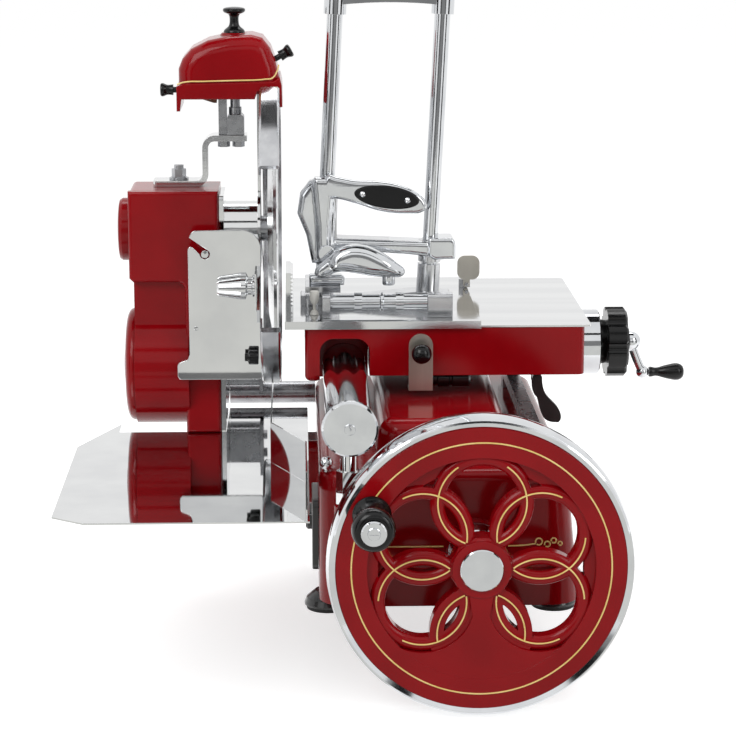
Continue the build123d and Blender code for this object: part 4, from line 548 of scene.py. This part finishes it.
for shell in (hood, skirt):
    for rod_start, rod_way in (grinding_rod, honing_rod):
        bpy.ops.mesh.primitive_cylinder_add(vertices=32, radius=rod_hole * mm,
                                            depth=rod_hole_length * mm,
                                            location=[c * mm for c in rod_start],
                                            rotation=Vector(rod_way).to_track_quat("Z", "Y").to_euler())
        cut(shell, bpy.context.object)
boss = turned_piece([(0.01, 0), (16, 0), (14, 3.4), (12.6, 5), (0.01, 5)], (-200, 80, 529))
hood = joined([hood, skirt, boss], "hood_shell", "head", red_enamel)
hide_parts("sharpener_hood")

# ============================ gold lines on the hood and the base ============
# Painted by hand like those of the wheel: one along the skirt's step, and one along
# the front of the base with a few plain curls at its right end.
hood_paint_y, base_paint_y = 33.9, -221.3
curl_from, curl_to = 200, -130
curls = ((89, 79, 3.2), (97, 76.5, 2.6), (103, 80, 2.4), (109, 77, 1.8))


def painted_line(points, face_y):
    """A painted line through (x, z) points on a face that looks along -Y."""
    drawn = bpy.data.curves.new("line", "CURVE")
    drawn.dimensions = "3D"
    drawn.resolution_u = 8
    line = drawn.splines.new("BEZIER")
    line.bezier_points.add(len(points) - 1)
    for point, (x, z) in zip(line.bezier_points, points):
        point.co = (x * mm, face_y * mm, z * mm)
        point.handle_left_type = point.handle_right_type = "AUTO"
    drawn.bevel_depth = stripe_radius
    drawn.bevel_resolution = 2
    drawn.use_fill_caps = True
    holder = bpy.data.objects.new("line", drawn)
    bpy.context.scene.collection.objects.link(holder)
    bpy.ops.object.select_all(action="DESELECT")
    holder.select_set(True)
    bpy.context.view_layer.objects.active = holder
    bpy.ops.object.convert(target="MESH")
    return bpy.context.object


hood_line = painted_line([(-257, 485.4), (-250, 487.6), (-230, 488.4), (-200, 489.2), (-168, 490.4),
                          (-161, 491.6), (-156, 499), (-154.4, 505)], hood_paint_y)
joined([hood_line], "hood_stripe", "head", gold_paint)

base_lines = [painted_line([(-59, 75), (-30, 75), (-1, 75)], base_paint_y),
              painted_line([(60, 75), (74, 75.5), (86, 77)], base_paint_y)]
for curl_x, curl_z, curl_size in curls:
    base_lines.append(painted_line(arc_points(curl_x, curl_z, curl_size, curl_from, curl_to, 10),
                                   base_paint_y))
joined(base_lines, "base_stripe", "frame", gold_paint)

# ============================ raised face of the blade case ==================
# The case's casting stands forward over the bearing and down the right side, and
# leaves the round chain housing set back behind it.
case_left, case_right, column_left = -309, -217.5, -252
shelf_z, case_top, case_foot = 284, 377.4, 126
face_front, face_back, face_rounding, corner = 27, 42, 3.5, 9
face = outline_plate([(case_left, shelf_z + 4), (case_left, case_top), (case_right, case_top),
                      (case_right, case_foot), (column_left, case_foot)]
                     + arc_points(column_left - corner, shelf_z - corner, corner, 0, 90, 6)
                     + [(case_left + 4, shelf_z)], face_front, face_back, face_rounding)
finish_piece(face, "case_raised_face", "frame", red_enamel)

# ============================ meat press =====================================
# Cast arm, sleeve and clamp body of the press, ground smooth and chromed.
# Fully rounded edges throw the dark bands that polished castings show. The clamp lever
# is a domed paddle on a neck, and the handle a flat casting with two rivets.
arm = outline_plate([(-112, 326), (-60, 324), (0, 322), (24, 322), (27, 318), (27, 306), (8, 304.5),
                     (-20, 308), (-60, 311), (-112, 309)], 44, 76, 5)
pad = outline_plate([(-2, 326), (23, 326), (26, 322), (26, 304), (4, 303), (-2, 308)], 42, 78, 3)
body = outline_plate([(-137, 352), (-134, 372), (-124, 386), (-108, 388), (-99, 380), (-97, 350),
                      (-99, 318), (-112, 300), (-122, 300), (-128, 330)], 40, 64, 6)
neck = outline_plate([(-119, 390), (-102, 390), (-99, 386), (-103, 340), (-103, 306), (-116, 306),
                      (-117, 340), (-121, 386)], 34, 56, 5.5)
foot = outline_plate([(-125, 290), (-92, 290), (-88, 287), (-89, 279), (-125, 279)], 31, 50, 4)
pin_head = turned_piece([(0.01, 0), (8.4, 0), (8.8, 0.8), (8.8, 3), (8, 3.8), (0.01, 3.8)],
                        (-107, 35, 312), (0, -1, 0))
casting = merged([arm, pad, body, neck, foot])
melt(casting, 0.9, 6)
joined([casting, pin_head], "press_arm_casting", "press", chrome)

paddle = outline_plate([(-104, 312), (-89, 322.5), (-73, 324), (-53, 317), (-35, 304.5),
                        (-27, 296.5), (-30, 291.3), (-40, 290.3), (-58, 291), (-73, 293.5),
                        (-88, 296), (-103, 298)],
                       6, 30, 11, smooth=True, segments=12)
lever_neck = outline_plate([(-119, 299), (-112, 306), (-98, 316), (-84, 318), (-80, 300),
                            (-96, 296), (-112, 290), (-119, 292)],
                           11, 25, 6.5, smooth=True, segments=8)
paddle_pin = turned_piece([(0.01, 0), (6, 0), (6.6, 1), (6.6, 9), (5.6, 10.5), (0.01, 10.5)],
                          (-44, 17, 293), (0, 0, -1))
paddle = merged([paddle, lever_neck])
melt(paddle, 0.7, 45)
paddle = joined([paddle, paddle_pin], "clamp_lever_casting", "lever", chrome)
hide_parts("clamp_lever")

handle_plate = outline_plate([(-106, 392), (-96.5, 390.5), (-78, 387), (-55, 386), (-31, 381.5),
                              (-13, 373), (-4.5, 363), (-4.5, 358), (-10, 353.5), (-21, 352.3), (-50, 354.6),
                              (-76, 362.5), (-96.5, 368), (-106, 369)],
                             34, 47, 4.5, smooth=True, segments=8)
rivets = [turned_piece([(0.01, 0), (3, 0), (2.9, 0.6), (1.6, 1.5), (0.01, 1.8)], (x, 33.2, z),
                       (0, -1, 0), steps=24) for x, z in ((-70, 373.2), (-24, 366.8))]
handle_frame = joined([handle_plate] + rivets, "press_handle_frame", "lift_handle", chrome)
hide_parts("press_handle")

# ============================ slice deflector ================================
# Polished plate that leads the slices off the blade: rounded corners, a hooked slot at
# the top left that hangs on a peg, and a countersunk screw low on its face.
deflector_front, deflector_back = 6.6, 9.4
slot_x, slot_z = -230.6, 316.6
plate = outline_plate([(-244, 338.6), (-241, 340.6), (-196, 341.4)]
                      + arc_points(-193, 322, 19, 85, 0, 10)
                      + [(-174, 191)] + arc_points(-177, 189.5, 3, 0, -90, 4)
                      + arc_points(-255.5, 191, 4.5, -90, -180, 5)
                      + arc_points(-255.5, 200.5, 4.5, 180, 105, 5)
                      + [(-249.5, 207.5), (-247.4, 213)]
                      + [(-247.8, 319)] + arc_points(-244.6, 321, 3.2, 180, 60, 5)
                      + [(-235.6, 316)] + arc_points(slot_x, slot_z, 5, 190, 430, 16)
                      + [(-246.4, 333.5)], deflector_front, deflector_back, 0.6, segments=3)
plate_screw = turned_piece([(0.01, 0), (2.2, 0), (2, 0.5), (0.8, 0.7), (0.01, 0.5)],
                           (-240.6, deflector_front, 240), (0, -1, 0), steps=20)
peg = turned_piece([(0.01, 0), (4.2, 0), (4.2, 3), (3.6, 3.8), (0.01, 4)],
                   (slot_x, deflector_back, slot_z), (0, -1, 0), steps=24)
# the folded flange that the clamp knob holds against the ring's arm
flange = outline_plate([(-180, 262), (-178, 262), (-178, 300), (-180, 300)], -18, 7.4, 0.5,
                       segments=3)
plate = joined([plate, plate_screw, peg, flange], "deflector_sheet", "frame", mirror_steel)
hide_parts("deflector_plate")

# ============================ small fittings =================================
# Turned stop knob beside the deflector, white bush beside the toothed plate, and the
# black collars that join each stone button to its rod. All are pressed or screwed on.
knob = turned_piece([(0.01, 0), (4, 0), (4, 3), (7, 4), (7.4, 5), (7.4, 13), (6.6, 14), (0.01, 14)],
                    (-191, -4, 212), (1, 0, 0), steps=24)
finish_piece(knob, "stop_knob", "frame", bakelite)

nylon = surface("white nylon", "e9e7e0", "dedbd2", 0.0, 0.38, 0.05, 12, relief=0.05, relief_mm=1)
bush = turned_piece([(0.01, 0), (4.7, 0), (3.2, 4), (1.6, 5), (1.6, 10), (3.2, 12), (4.8, 16),
                     (4.8, 23.6), (4.3, 24.2), (0.01, 24.2)], (-120, -2, 255.6), steps=32)
finish_piece(bush, "nylon_bush", "table", nylon)

for name, body_name, (rod_start, rod_way) in (("grinding_collar", "grinder", grinding_rod),
                                              ("honing_collar", "honer", honing_rod)):
    collar = turned_piece([(0.01, -2.4), (3.2, -2.4), (3.2, -1.8), (3.05, -1.6), (3.05, 0.4),
                           (0.01, 0.4)], rod_start, rod_way, steps=24)
    finish_piece(collar, name, body_name, bakelite)
